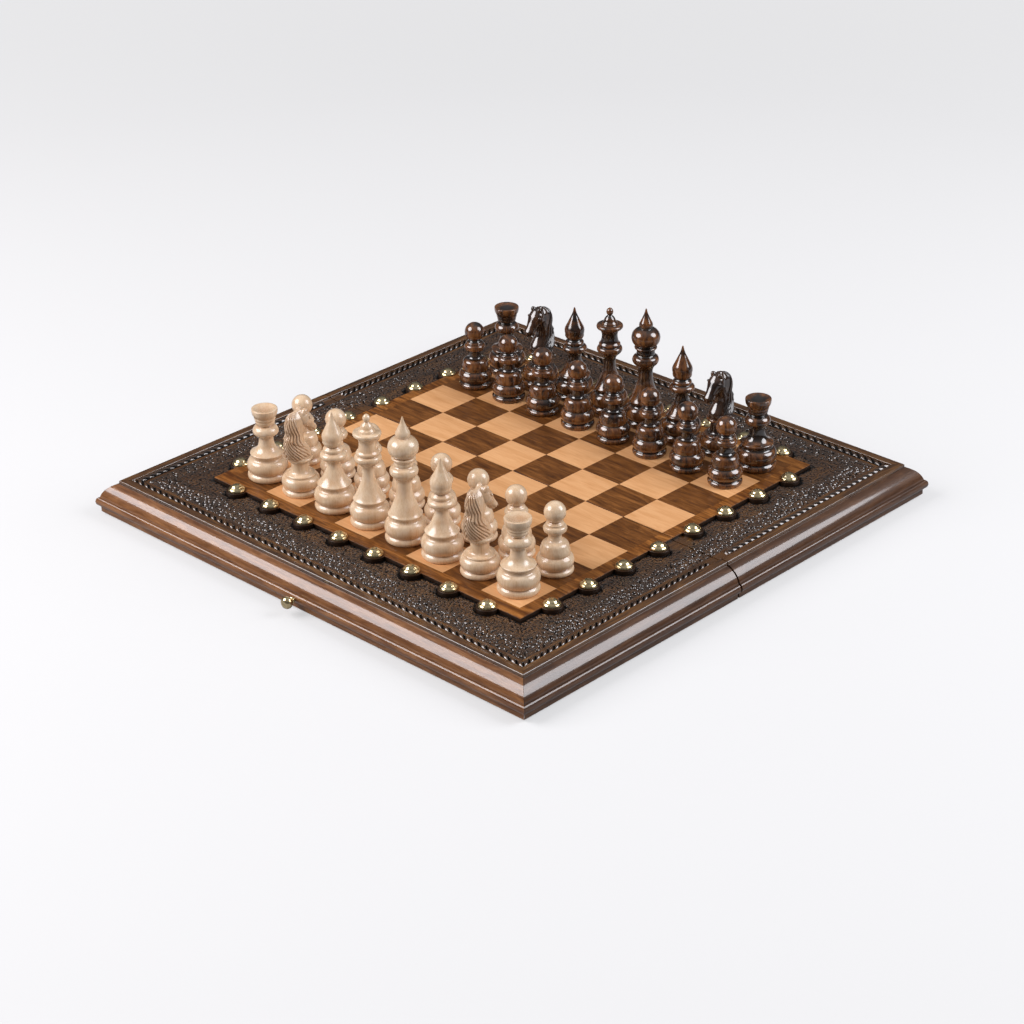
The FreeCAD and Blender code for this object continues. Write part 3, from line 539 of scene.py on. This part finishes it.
def horse_neck():
    """Rounded sections from the foot's table to the crown, with grooves between mane strands.

    Each section is a superellipse between the front and the back line. Strands are the bare sine
    of the way round minus a slant times the height, so grooves are sharp and strands round. The
    upper lock lies over the lower one and gets wider forwards as it falls. Also gives how deep
    in a groove each point lies.
    """
    level = np.linspace(25.8, 59.5, 150)
    front = smooth_through(
        [25.8, 28, 31, 34, 37.5, 41.5, 46, 51, 55, 59.5],
        [6.6, 7.8, 7.2, 5.2, 3.2, 2.4, 3.8, 5.0, 3.8, 0.8], level, 0.9)
    back = smooth_through(
        [25.8, 28, 32, 37, 40.5, 43, 44.5, 47.5, 51.5, 55.5, 58, 59.5],
        [-8.4, -9.6, -10.6, -10.8, -10.0, -8.3, -7.9, -8.6, -8.4, -6.9, -4.4, -0.8], level, 0.6)
    wide = smooth_through(
        [25.8, 28.5, 33, 38, 43, 50, 55, 59.5], [6.2, 6.6, 5.8, 4.6, 4.2, 4.4, 3.7, 0.9], level, 0.9)
    around = np.linspace(0, 2 * np.pi, 160, endpoint=False)
    z, turn = np.meshgrid(level, around, indexing="ij")
    c, s = np.cos(turn), np.sin(turn)
    side = np.abs((turn + np.pi / 2 + np.pi) % (2 * np.pi) - np.pi) / np.pi
    upper = ease(-0.5, 0.5, z - (44.2 - 16 * side))
    sway = 0.01 * np.sin(0.31 * z + 9 * side)
    strand_up = np.abs(np.sin(np.pi * STRANDS * (side + sway - 0.016 * (59 - z)))) ** 0.45
    strand_low = np.abs(np.sin(np.pi * STRANDS * (side + sway - 0.026 * (44 - z)))) ** 0.45
    edge = 0.3 + 0.014 * (58 - z)
    hair_up = upper * ease(0.05, -0.05, side - edge) * ease(59.5, 57.5, z)
    hair_low = (1 - upper) * ease(0.68, 0.58, side) * ease(26.2, 28.0, z)
    proud = hair_up * (0.05 + 0.95 * strand_up) + hair_low * (0.95 * strand_low - 0.6)
    half = (front - back)[:, None] / 2
    middle = (front + back)[:, None] / 2
    x = (wide[:, None] + proud) * np.sign(c) * np.abs(c) ** 0.9
    y = middle + (half + proud) * np.sign(s) * np.abs(s) ** 0.9
    # Painted shade between the mane strands, on top of the carved horse's darker staining.
    deep = BARE_CARVING + hair_up * (1 - strand_up) + hair_low * (1 - strand_low)
    return tube(np.stack([x, y, z], -1)), deep.ravel()


def horse_head():
    """Sections along the line from the poll to the muzzle, wide at the cheeks, narrow at the nose."""
    t = np.concatenate([np.linspace(-0.12, 0.94, 44), 0.94 + 0.12 * np.sin(np.linspace(0.1, 1.57, 9))])
    start, end = np.array([0.8, 57.0]), np.array([12.0, 41.6])
    length = np.linalg.norm(end - start)
    ahead = (end - start) / length
    up = np.array([-ahead[1], ahead[0]])
    brow = smooth_through(
        [-0.12, 0.05, 0.3, 0.55, 0.8, 0.94, 1.06], [2.4, 4.4, 4.6, 3.5, 2.8, 2.8, 0.2], t, 0.03)
    jaw = smooth_through(
        [-0.12, 0.1, 0.3, 0.5, 0.7, 0.85, 0.94, 1.06],
        [1.7, 5.2, 6.2, 4.4, 3.0, 3.2, 2.8, 0.2], t, 0.03)
    wide = smooth_through(
        [-0.12, 0.08, 0.28, 0.5, 0.7, 0.88, 0.95, 1.06],
        [1.6, 4.3, 5.4, 4.1, 3.2, 3.6, 3.1, 0.2], t, 0.03)
    around = np.linspace(0, 2 * np.pi, 56, endpoint=False)
    tt, turn = np.meshgrid(t, around, indexing="ij")
    c, s = np.cos(turn), np.sin(turn)
    mouth = 0.6 * np.exp(-((s + 0.45) / 0.14) ** 2) * ease(0.72, 0.84, tt)
    cheek = 0.45 * np.exp(-(((tt - 0.34) / 0.1) ** 2 + ((s + 0.35) / 0.5) ** 2))
    socket = -0.6 * np.exp(-(((tt - 0.27) / 0.05) ** 2 + ((s - 0.42) / 0.22) ** 2))
    nostril = -0.7 * np.exp(-(((tt - 0.93) / 0.03) ** 2 + ((s - 0.25) / 0.2) ** 2))
    swell = 1 + (cheek + socket + nostril - mouth) / 4
    off = np.where(s > 0, brow[:, None], jaw[:, None]) * s * swell
    x = wide[:, None] * np.sign(c) * np.abs(c) ** 0.9 * swell
    yz = start + (tt[..., None] * length) * ahead + off[..., None] * up
    return tube(np.concatenate([x[..., None], yz], -1))


def limb(path, radius, turns=20):
    """A round section carried along a path of points, thinning as its radii say."""
    ahead = np.gradient(path, axis=0)
    ahead /= np.linalg.norm(ahead, axis=1, keepdims=True)
    side = np.cross(ahead, [0.3, 1.0, 0.2])
    side /= np.linalg.norm(side, axis=1, keepdims=True)
    other = np.cross(ahead, side)
    turn = np.linspace(0, 2 * np.pi, turns, endpoint=False)[None, :, None]
    ring = np.cos(turn) * side[:, None] + np.sin(turn) * other[:, None]
    return tube(path[:, None] + radius[:, None, None] * ring)


def horse_details():
    """Ears as leaning rounded spikes and eyes as small beads, one of each on both sides."""
    t = np.linspace(0, 1, 12)[:, None]
    for sign in (-1, 1):
        root, tip = np.array([sign * 2.3, 2.2, 56.2]), np.array([sign * 2.8, 4.4, 60.2])
        bulge = np.sqrt(np.clip(1 - (t[:, 0] * 1.25 - 0.25) ** 2, 0, 1))
        yield limb(root + (tip - root) * t, 1.9 * bulge + 0.06)
        eye = turned(*bowed([(0, 0, 0), (0, 1.9, 0.93)], 0.05, 14), turns=16)
        yield shifted(eye, sign * 4.5, 5.6, 52.6)


def knight():
    """The turned foot, the horse and its details, with how deep each point lies in the mane."""
    below, values = man_turned(TURNINGS["knight"])
    neck, in_mane = horse_neck()
    horse = [neck, horse_head()] + list(horse_details())
    horse = [(points * HORSE_STRETCH, faces) for points, faces in horse]
    bare = np.full(sum(len(points) for points, _ in horse[1:]), BARE_CARVING)
    values["hollow"] = np.concatenate([values["hollow"], in_mane, bare])
    stain_and_shade = np.full(len(in_mane) + len(bare), HORSE_STAIN)
    values["waist"] = np.concatenate([values["waist"], stain_and_shade])
    return [below] + horse, values


# Shader groups and materials.
def new_group(name, inputs, outputs):
    """A shader group with its named sockets; gives the group and its two end nodes."""
    group = bpy.data.node_groups.new(name, "ShaderNodeTree")
    for label, kind, value in inputs:
        socket = group.interface.new_socket(label, in_out="INPUT", socket_type=kind)
        if value is not None:
            socket.default_value = value
    for label, kind in outputs:
        group.interface.new_socket(label, in_out="OUTPUT", socket_type=kind)
    return group, group.nodes.new("NodeGroupInput"), group.nodes.new("NodeGroupOutput")


def math_node(tree, operation, first, second):
    """A math node with links or numbers on its two inputs; gives its output."""
    node = tree.nodes.new("ShaderNodeMath")
    node.operation = operation
    for socket, value in zip(node.inputs, (first, second)):
        if isinstance(value, (int, float)):
            socket.default_value = value
        else:
            tree.links.new(value, socket)
    return node.outputs[0]


def noise_node(tree, vector, scale, detail, rough, distortion=0.0):
    """Smooth noise from nothing to one at the given coordinates."""
    node = tree.nodes.new("ShaderNodeTexNoise")
    node.inputs["Scale"].default_value = scale
    node.inputs["Detail"].default_value = detail
    node.inputs["Roughness"].default_value = rough
    node.inputs["Distortion"].default_value = distortion
    tree.links.new(vector, node.inputs["Vector"])
    return node.outputs["Fac"]


def stretched(tree, vector, x, y, z):
    """Coordinates multiplied along each axis."""
    node = tree.nodes.new("ShaderNodeVectorMath")
    node.operation = "MULTIPLY"
    node.inputs[1].default_value = (x, y, z)
    tree.links.new(vector, node.inputs[0])
    return node.outputs[0]


def remap(tree, value, low, high, to_low=0.0, to_high=1.0):
    """A value carried in a straight line from one range to another and held at its ends."""
    node = tree.nodes.new("ShaderNodeMapRange")
    ends = {"From Min": low, "From Max": high, "To Min": to_low, "To Max": to_high}
    for label, amount in ends.items():
        node.inputs[label].default_value = amount
    tree.links.new(value, node.inputs["Value"])
    return node.outputs["Result"]


def mixed(tree, factor, first, second):
    """A colour mix with links or colours on both sides; gives its colour output."""
    node = tree.nodes.new("ShaderNodeMix")
    node.data_type = "RGBA"
    sockets = node.inputs[0], node.inputs[6], node.inputs[7]
    for socket, value in zip(sockets, (factor, first, second)):
        if isinstance(value, (int, float)):
            socket.default_value = value
        elif isinstance(value, tuple):
            socket.default_value = value + (1,)
        else:
            tree.links.new(value, socket)
    return node.outputs[2]


def ramp(tree, value, stops):
    """A colour picked by a value from stops of place and colour."""
    node = tree.nodes.new("ShaderNodeValToRGB")
    elements = node.color_ramp.elements
    while len(elements) < len(stops):
        elements.new(0.5)
    for element, (place, colour) in zip(elements, stops):
        element.position = place
        element.color = colour + (1,)
    tree.links.new(value, node.inputs["Fac"])
    return node.outputs["Color"]


def make_grain():
    """Wood figure along X: slow bands, fine fibres and short dark pores, each drawn out along X."""
    group, inside, out = new_group(
        "wood_grain",
        [("Vector", "NodeSocketVector", None)],
        [("Figure", "NodeSocketFloat"), ("Fibre", "NodeSocketFloat"), ("Pores", "NodeSocketFloat")],
    )
    vector = inside.outputs["Vector"]
    bands = noise_node(
        group, stretched(group, vector, 0.12, 1, 1), scale=330, detail=4, rough=0.62, distortion=0.8)
    fibre = noise_node(group, stretched(group, vector, 0.03, 1, 1), scale=1500, detail=2, rough=0.6)
    pores = noise_node(group, stretched(group, vector, 0.07, 1, 1), scale=1900, detail=1, rough=0.5)
    group.links.new(remap(group, bands, 0.28, 0.72), out.inputs["Figure"])
    group.links.new(fibre, out.inputs["Fibre"])
    group.links.new(remap(group, pores, 0.6, 0.7), out.inputs["Pores"])
    return group


GRAIN = make_grain()
TURN_TO_X = {"x": (0, 0, 0), "y": (0, 0, math.pi / 2), "z": (0, math.pi / 2, 0)}


class Finish:
    """A material being built: its nodes, the shader and the board's own coordinates."""

    def __init__(self, name):
        self.material = bpy.data.materials.new(name)
        self.material.use_nodes = True
        self.tree = self.material.node_tree
        self.shader = self.tree.nodes["Principled BSDF"]
        self.place = self.tree.nodes.new("ShaderNodeTexCoord").outputs["Object"]

    def link(self, output, label):
        """Joins an output to one of the shader's sockets."""
        self.tree.links.new(output, self.shader.inputs[label])

    def set(self, **amounts):
        """Sets the shader's sockets, named in small letters with underscores."""
        for label, amount in amounts.items():
            socket = label.replace("_", " ").title().replace("Ior", "IOR")
            self.shader.inputs[socket].default_value = amount

    def grain(self, along, vector=None):
        """The wood grain group turned to run along an axis."""
        turn = self.tree.nodes.new("ShaderNodeMapping")
        turn.inputs["Rotation"].default_value = TURN_TO_X[along]
        self.tree.links.new(vector or self.place, turn.inputs["Vector"])
        node = self.tree.nodes.new("ShaderNodeGroup")
        node.node_tree = GRAIN
        self.tree.links.new(turn.outputs["Vector"], node.inputs["Vector"])
        return node.outputs

    def tone(self, figure, fibre):
        """Place on a wood's ramp: mostly its figure, with some of its fibre."""
        slow = math_node(self.tree, "MULTIPLY", figure, 0.72)
        return math_node(self.tree, "ADD", slow, math_node(self.tree, "MULTIPLY", fibre, 0.28))

    def bump(self, height, strength, distance):
        """Fine relief from a height, up to a distance in metres."""
        node = self.tree.nodes.new("ShaderNodeBump")
        node.inputs["Strength"].default_value = strength
        node.inputs["Distance"].default_value = distance
        self.tree.links.new(height, node.inputs["Height"])
        self.link(node.outputs["Normal"], "Normal")

    def attribute(self, label):
        """A value that the piece's own points carry."""
        node = self.tree.nodes.new("ShaderNodeAttribute")
        node.attribute_name = label
        return node.outputs["Fac"]


def lacquered(name, along, stops, rough=0.3, coat=0.5, pores=0.5, gloss=0.5):
    """Lacquered wood: the figure picks the colour, pores darken it, fibres vary the gloss."""
    finish = Finish(name)
    tree = finish.tree
    figure, fibre, pore = finish.grain(along)
    tone = finish.tone(figure, fibre)
    colour = ramp(tree, tone, stops)
    colour = mixed(tree, math_node(tree, "MULTIPLY", pore, pores), colour, stops[0][1])
    finish.link(colour, "Base Color")
    finish.link(remap(tree, fibre, 0.3, 0.7, rough * 0.85, rough * 1.15), "Roughness")
    finish.set(coat_weight=coat, coat_roughness=0.08, specular_ior_level=gloss)
    finish.bump(pore, 0.1, 0.0001)
    return finish.material


def mans_wood(name, stops, blotch, spread, groove, depth, waist, rough, coat_rough, coat_ior):
    """Wood of the men: faint grain, slow blotches of another tone, painted shade in grooves, dishes
    and waists, and darker staining on the carved horses.
    """
    finish = Finish(name)
    tree = finish.tree
    figure, fibre, pore = finish.grain("z")
    colour = ramp(tree, finish.tone(figure, fibre), stops)
    slow = noise_node(tree, finish.place, scale=110, detail=2, rough=0.5, distortion=0.2)
    colour = mixed(tree, remap(tree, slow, *spread), colour, blotch)
    colour = mixed(tree, math_node(tree, "MULTIPLY", pore, 0.12), colour, stops[0][1])
    # Painted shade: grooves, dishes and, where a waist amount is given, waists go towards the groove
    # colour; the horses' darker staining rides on the same values.
    sunk = math_node(tree, "MULTIPLY", finish.attribute("hollow"), depth)
    drawn_in = math_node(tree, "MULTIPLY", finish.attribute("waist"), waist)
    stain_and_shade = math_node(tree, "MAXIMUM", math_node(tree, "MINIMUM", sunk, 0.96), drawn_in)
    colour = mixed(tree, stain_and_shade, colour, groove)
    finish.link(colour, "Base Color")
    finish.link(remap(tree, fibre, 0.3, 0.7, rough * 0.85, rough * 1.15), "Roughness")
    finish.set(coat_weight=1.0, coat_roughness=coat_rough, coat_ior=coat_ior)
    finish.bump(fibre, 0.03, 0.0001)
    return finish.material


def field_walnut():
    """Walnut of the field: each square a veneer of its own tone, a warmer margin, and a black edge of
    painted shade on the tabs round the studs and on the plate's side wall.
    """
    finish = Finish("field_walnut")
    tree = finish.tree
    cell = tree.nodes.new("ShaderNodeVectorMath")
    cell.operation = "FLOOR"
    per_square = 1 / (SQUARE * MM)
    tree.links.new(stretched(tree, finish.place, per_square, per_square, 0), cell.inputs[0])
    chance = tree.nodes.new("ShaderNodeTexWhiteNoise")
    chance.noise_dimensions = "3D"
    tree.links.new(cell.outputs[0], chance.inputs["Vector"])
    moved = tree.nodes.new("ShaderNodeVectorMath")
    moved.operation = "ADD"
    tree.links.new(finish.place, moved.inputs[0])
    tree.links.new(chance.outputs["Color"], moved.inputs[1])
    figure, fibre, pore = finish.grain("x", moved.outputs[0])
    squares = ramp(tree, finish.tone(figure, fibre), SQUARE_WALNUT)
    darker = math_node(tree, "MULTIPLY", chance.outputs["Value"], 0.25)
    varied = mixed(tree, darker, squares, (0.06, 0.022, 0.007))
    margin = ramp(tree, finish.grain("x")[0], RAIL_WALNUT)
    split = tree.nodes.new("ShaderNodeSeparateXYZ")
    tree.links.new(finish.place, split.inputs[0])
    from_x = math_node(tree, "ABSOLUTE", split.outputs["X"], 0)
    from_y = math_node(tree, "ABSOLUTE", split.outputs["Y"], 0)
    reach = math_node(tree, "MAXIMUM", from_x, from_y)
    last_square = 4 * SQUARE * MM
    outside = remap(tree, reach, last_square - 0.0001, last_square + 0.0001)
    colour = mixed(tree, outside, varied, margin)
    colour = mixed(tree, math_node(tree, "MULTIPLY", pore, 0.6), colour, (0.03, 0.01, 0.003))
    # Painted shade round the studs: the tabs beyond the field's edge go near black.
    tabs = remap(tree, reach, (FIELD_EDGE - 0.5) * MM, (FIELD_EDGE + 2.0) * MM, 0, 0.9)
    colour = mixed(tree, tabs, colour, (0.012, 0.006, 0.003))
    # Painted shade on the plate's side wall, below its rounded top edge.
    below = remap(tree, split.outputs["Z"], (FIELD_TOP - 0.25) * MM, (FIELD_TOP - 0.7) * MM)
    colour = mixed(tree, below, colour, (0.02, 0.009, 0.004))
    finish.link(colour, "Base Color")
    finish.link(remap(tree, fibre, 0.3, 0.7, 0.36, 0.48), "Roughness")
    finish.set(specular_ior_level=0.25)
    finish.bump(pore, 0.15, 0.0001)
    return finish.material


def carved_walnut(name, along):
    """Carved board: brown where plain or rubbed, near black in the hollows, which are dull. That black
    is dark staining with painted shade, and beside the plate it is painted shade alone.
    """
    finish = Finish(name)
    tree = finish.tree
    figure, fibre, pore = finish.grain(along)
    brown = ramp(tree, finish.tone(figure, fibre), CARVED_BROWN)
    stain_and_shade = mixed(tree, finish.attribute("wear_and_shade"), (0.014, 0.008, 0.005), brown)
    hollow = finish.attribute("hollow")
    # Painted shade with dark staining: the hollows go near black.
    dark = mixed(tree, remap(tree, hollow, 0.35, 0.75, 0.0, 0.97), stain_and_shade, (0.003, 0.002, 0.002))
    bare = mixed(tree, 0.3, brown, (0.012, 0.005, 0.002))
    colour = mixed(tree, finish.attribute("plain"), dark, bare)
    colour = mixed(tree, math_node(tree, "MULTIPLY", pore, 0.5), colour, (0.012, 0.005, 0.002))
    finish.link(colour, "Base Color")
    finish.link(remap(tree, fibre, 0.3, 0.7, 0.42, 0.55), "Roughness")
    finish.link(remap(tree, hollow, 0.6, 0.95, 1.0, 0.0), "Coat Weight")
    finish.set(coat_roughness=0.11, coat_ior=1.85, specular_ior_level=0.1)
    finish.bump(fibre, 0.2, 0.0002)
    return finish.material


def polished_brass():
    """Pale brass with faint cloudy tarnish and rubbed gloss."""
    finish = Finish("polished_brass")
    tree = finish.tree
    cloud = noise_node(tree, finish.place, scale=420, detail=3, rough=0.6)
    finish.link(ramp(tree, cloud, [(0.3, (0.46, 0.35, 0.17)), (0.7, (0.8, 0.68, 0.42))]), "Base Color")
    finish.link(remap(tree, cloud, 0.3, 0.7, 0.1, 0.2), "Roughness")
    finish.set(metallic=0.95)
    finish.bump(cloud, 0.35, 0.0006)
    return finish.material


# Tones of each wood from dark to light, as places on its ramp and colours.
SHADED_SIDE_WALNUT = [(0.2, (0.048, 0.019, 0.008)), (0.5, (0.085, 0.035, 0.014)), (0.8, (0.13, 0.058, 0.025))]
LIT_FRONT_WALNUT = [(0.2, (0.115, 0.043, 0.015)), (0.5, (0.21, 0.088, 0.032)), (0.8, (0.31, 0.142, 0.057))]
SQUARE_WALNUT = [(0.2, (0.06, 0.019, 0.004)), (0.5, (0.15, 0.053, 0.011)), (0.8, (0.27, 0.105, 0.026))]
RAIL_WALNUT = [(0.15, (0.09, 0.027, 0.005)), (0.5, (0.2, 0.07, 0.013)), (0.85, (0.36, 0.14, 0.032))]
CARVED_BROWN = [(0.2, (0.045, 0.016, 0.003)), (0.5, (0.115, 0.044, 0.008)), (0.8, (0.22, 0.095, 0.02))]
EBONISED = [(0.2, (0.03, 0.01, 0.003)), (0.5, (0.13, 0.046, 0.012)), (0.85, (0.28, 0.108, 0.028))]
BLACK_STAIN = [(0.15, (0.012, 0.006, 0.004)), (0.55, (0.035, 0.014, 0.007)), (0.9, (0.1, 0.04, 0.016))]
PALE_MAPLE = [(0.15, (0.7, 0.49, 0.3)), (0.5, (0.78, 0.58, 0.385)), (0.85, (0.81, 0.64, 0.46))]
AMBER_MAPLE = [(0.1, (0.6, 0.29, 0.11)), (0.5, (0.7, 0.365, 0.16)), (0.9, (0.77, 0.43, 0.2))]
TRAY_WALNUT = [(0.1, (0.09, 0.035, 0.012)), (0.5, (0.17, 0.07, 0.024)), (0.9, (0.27, 0.12, 0.045))]

BRASS = polished_brass()
# Painted light and shade: the front moulding's walnut is a lighter copy and the side mouldings' a
# darker copy of one wood, as lit and as shaded.
MOULDING = {
    "x": lacquered(
        "lit_front_moulding_walnut", "x", LIT_FRONT_WALNUT, rough=0.36, coat=1.0, pores=0.6, gloss=0.1),
    "y": lacquered(
        "shaded_side_moulding_walnut", "y", SHADED_SIDE_WALNUT, rough=0.36, coat=1.0, pores=0.6, gloss=0.2),
}
CARVED = {a: carved_walnut(f"carved_walnut_{a}", a) for a in "xy"}
FIELD = field_walnut()
LIGHT_SQUARES = lacquered(
    "amber_maple", "x", AMBER_MAPLE, rough=0.42, coat=0.0, pores=0.12, gloss=0.3)
# Each groove colour is the painted shade of grooves, dishes and waists, and the staining of the carved
# horse.
WHITE_MEN = mans_wood(
    "pale_maple", PALE_MAPLE, blotch=(0.64, 0.4, 0.22), spread=(0.45, 0.85),
    groove=(0.34, 0.15, 0.06), depth=0.9, waist=0.0, rough=0.28, coat_rough=0.2, coat_ior=1.48)
DARK_MEN = mans_wood(
    "ebonised_walnut", EBONISED, blotch=(0.008, 0.004, 0.003), spread=(0.48, 0.7),
    groove=(0.006, 0.004, 0.003), depth=2.6, waist=1.2, rough=0.2, coat_rough=0.09, coat_ior=1.62)
TRAY = lacquered("tray_walnut", "x", TRAY_WALNUT, rough=0.38, coat=0.2)
LIGHT_POINTS = lacquered("light_point_maple", "x", AMBER_MAPLE, rough=0.36, coat=0.2, pores=0.2)
DARK_POINTS = lacquered("dark_point_walnut", "x", BLACK_STAIN, rough=0.34, coat=0.2)


# Pieces of both halves: the rear one is the front one turned half round the fold's middle.
def dress(node, material):
    """Gives a node that keeps its CAD shape another material."""
    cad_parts[node].data.materials.clear()
    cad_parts[node].data.materials.append(material)


def dress_half(half, turned_round):
    """The new pieces of one half, and the finish of the nodes that keep their CAD shape."""
    body = f"{half}_half"
    axis = {"outer": "x", "left": "y", "right": "y"}
    for side, part in edge_mouldings():
        piece(
            f"{half}_moulding_{side}", [shifted(part, half_turn=turned_round)], MOULDING[axis[side]],
            body, [f"{half}_edge_moulding"], crease=32)
    for side in SIDES:
        part, values = border_board(side, CARVING_SEED[half])
        piece(
            f"{half}_border_{side}", [shifted(part, half_turn=turned_round)], CARVED[axis[side]],
            body, [f"{half}_carved_border"], crease=50, values=values)
    piece(
        f"{half}_field", [shifted(field_plate(), half_turn=turned_round)], FIELD,
        body, [f"{half}_field_plate"], crease=40)
    tiles = [light_tile(i, j) for j in range(4) for i in range(8) if (i + j) % 2]
    piece(
        f"{half}_light_tiles", [shifted(t, half_turn=turned_round) for t in tiles], LIGHT_SQUARES,
        body, [f"{half}_light_squares"], crease=20)
    dome = stud_dome()
    heads = [shifted(shifted(dome, x, y, FIELD_TOP), half_turn=turned_round) for x, y in stud_spots()]
    piece(f"{half}_stud_heads", heads, BRASS, body, [f"{half}_studs"])
    piece(
        f"{half}_ball_knob", [shifted(knob(), half_turn=turned_round)], BRASS,
        body, [f"{half}_latch_knob"])
    for part, material in (
        ("case_rails", MOULDING["x"]), ("fold_rail", MOULDING["x"]), ("core_panel", TRAY),
        ("light_points", LIGHT_POINTS), ("dark_points", DARK_POINTS), ("hinge_screws", BRASS),
        ("hinge_leaves", BRASS),
    ):
        dress(f"{half}_{part}", material)


dress_half("front", False)
dress_half("rear", True)
dress("hinge_pins", BRASS)
dress("latch_hook", BRASS)

PATTERNS = {"knight": knight()}
for kind in ("king", "queen", "bishop", "rook", "pawn"):
    man, values = man_turned(TURNINGS[kind])
    PATTERNS[kind] = [man], values
for colour, rank, kinds in (
    ("white", 1, BACK_RANK), ("white", 2, PAWNS), ("dark", 7, PAWNS), ("dark", 8, BACK_RANK),
):
    for i, kind in enumerate(kinds):
        name = f"{colour}_{kind}_{FILES[i]}{rank}"
        spot = ((i - 3.5) * SQUARE, (rank - 4.5) * SQUARE, FIELD_TOP + FOOT_GAP)
        parts, values = PATTERNS[kind]
        piece(
            f"{name}_man", [shifted(part, *spot, half_turn=colour == "dark") for part in parts],
            WHITE_MEN if colour == "white" else DARK_MEN, name, [name],
            crease=60, values=values)


# Floor, light and camera, in metres and degrees.
FLOOR_REACH = 4.0
FLOOR_FADE = (0.9, 2.4)
FLOOR_COVER = 0.48
SKY_STRENGTH = (0.05, 0.42)
CAMERA_ANGLES = (44.047, 27.413, -0.773)
CAMERA_PLACE = (1.10233, -1.14079, 0.81696)
CAMERA_LENS = 92.24


def make_floor():
    """A wide pale sheet on the ground that fades out far away.

    It is half clear and lets the lamps' light through, so that a half folded below it still shows.
    """
    mesh = bpy.data.meshes.new("floor")
    signs = ((-1, -1), (1, -1), (1, 1), (-1, 1))
    mesh.from_pydata([(x * FLOOR_REACH, y * FLOOR_REACH, 0) for x, y in signs], [], [(0, 1, 2, 3)])
    finish = Finish("pale_floor")
    finish.set(base_color=(0.74, 0.74, 0.75, 1), roughness=0.9)
    away = finish.tree.nodes.new("ShaderNodeVectorMath")
    away.operation = "LENGTH"
    finish.tree.links.new(finish.place, away.inputs[0])
    fading = remap(finish.tree, away.outputs["Value"], *FLOOR_FADE, FLOOR_COVER, 0.0)
    path = finish.tree.nodes.new("ShaderNodeLightPath")
    unlit = math_node(finish.tree, "SUBTRACT", 1.0, path.outputs["Is Shadow Ray"])
    finish.link(math_node(finish.tree, "MULTIPLY", fading, unlit), "Alpha")
    mesh.materials.append(finish.material)
    floor = bpy.data.objects.new("floor", mesh)
    bpy.context.scene.collection.objects.link(floor)


def make_world():
    """Pale light that grows from the horizon up, as its height squared; the camera sees white."""
    world = bpy.data.worlds.new("studio")
    world.use_nodes = True
    tree = world.node_tree
    tree.nodes.clear()
    split = tree.nodes.new("ShaderNodeSeparateXYZ")
    tree.links.new(tree.nodes.new("ShaderNodeTexCoord").outputs["Generated"], split.inputs[0])
    squared = math_node(tree, "POWER", math_node(tree, "MAXIMUM", split.outputs["Z"], 0.0), 2.0)
    path = tree.nodes.new("ShaderNodeLightPath")
    soft, white = tree.nodes.new("ShaderNodeBackground"), tree.nodes.new("ShaderNodeBackground")
    soft.inputs["Color"].default_value = (0.97, 0.97, 1.0, 1)
    tree.links.new(remap(tree, squared, 0.0, 1.0, *SKY_STRENGTH), soft.inputs["Strength"])
    white.inputs["Strength"].default_value = 1.0
    white.inputs["Color"].default_value = (0.97, 0.97, 0.98, 1)
    mix, out = tree.nodes.new("ShaderNodeMixShader"), tree.nodes.new("ShaderNodeOutputWorld")
    tree.links.new(path.outputs["Is Camera Ray"], mix.inputs[0])
    tree.links.new(soft.outputs[0], mix.inputs[1])
    tree.links.new(white.outputs[0], mix.inputs[2])
    tree.links.new(mix.outputs[0], out.inputs["Surface"])
    bpy.context.scene.world = world


def softbox(name, direction, distance, width, height, power, tint):
    """An oval lamp turned to the board's middle."""
    lamp = bpy.data.lights.new(name, "AREA")
    lamp.shape = "ELLIPSE"
    lamp.size, lamp.size_y = width, height
    lamp.energy = power
    lamp.color = tint
    stand = bpy.data.objects.new(name, lamp)
    away = Vector(direction).normalized()
    stand.location = away * distance
    stand.rotation_euler = away.to_track_quat("Z", "Y").to_euler()
    bpy.context.scene.collection.objects.link(stand)


def make_camera():
    """Camera behind the white men's right, its angles taken from the board's own squares.

    The angles are its bearing, how steeply it looks down, and its tilt about the line of sight.
    """
    bearing, height, tilt = (math.radians(a) for a in CAMERA_ANGLES)
    level = math.cos(height)
    forward = Vector((-math.sin(bearing) * level, math.cos(bearing) * level, -math.sin(height)))
    right = Vector((math.cos(bearing), math.sin(bearing), 0))
    down = forward.cross(right)
    across = right * math.cos(tilt) - down * math.sin(tilt)
    below = right * math.sin(tilt) + down * math.cos(tilt)
    camera = bpy.data.cameras.new("camera")
    camera.sensor_width = 36
    camera.lens = CAMERA_LENS
    stand = bpy.data.objects.new("camera", camera)
    place = Matrix((across, -below, -forward)).transposed().to_4x4()
    place.translation = Vector(CAMERA_PLACE)
    stand.matrix_world = place
    bpy.context.scene.collection.objects.link(stand)
    bpy.context.scene.camera = stand


make_floor()
make_world()
softbox(
    "right_softbox", (0.64, 0.48, 0.6), distance=1.7, width=1.1, height=1.2,
    power=23, tint=(0.96, 0.96, 1.0))
softbox(
    "left_softbox", (-0.49, -0.63, 0.6), distance=1.7, width=1.35, height=1.1,
    power=30, tint=(1.0, 0.965, 0.98))
make_camera()
bpy.context.scene.view_settings.view_transform = "Standard"
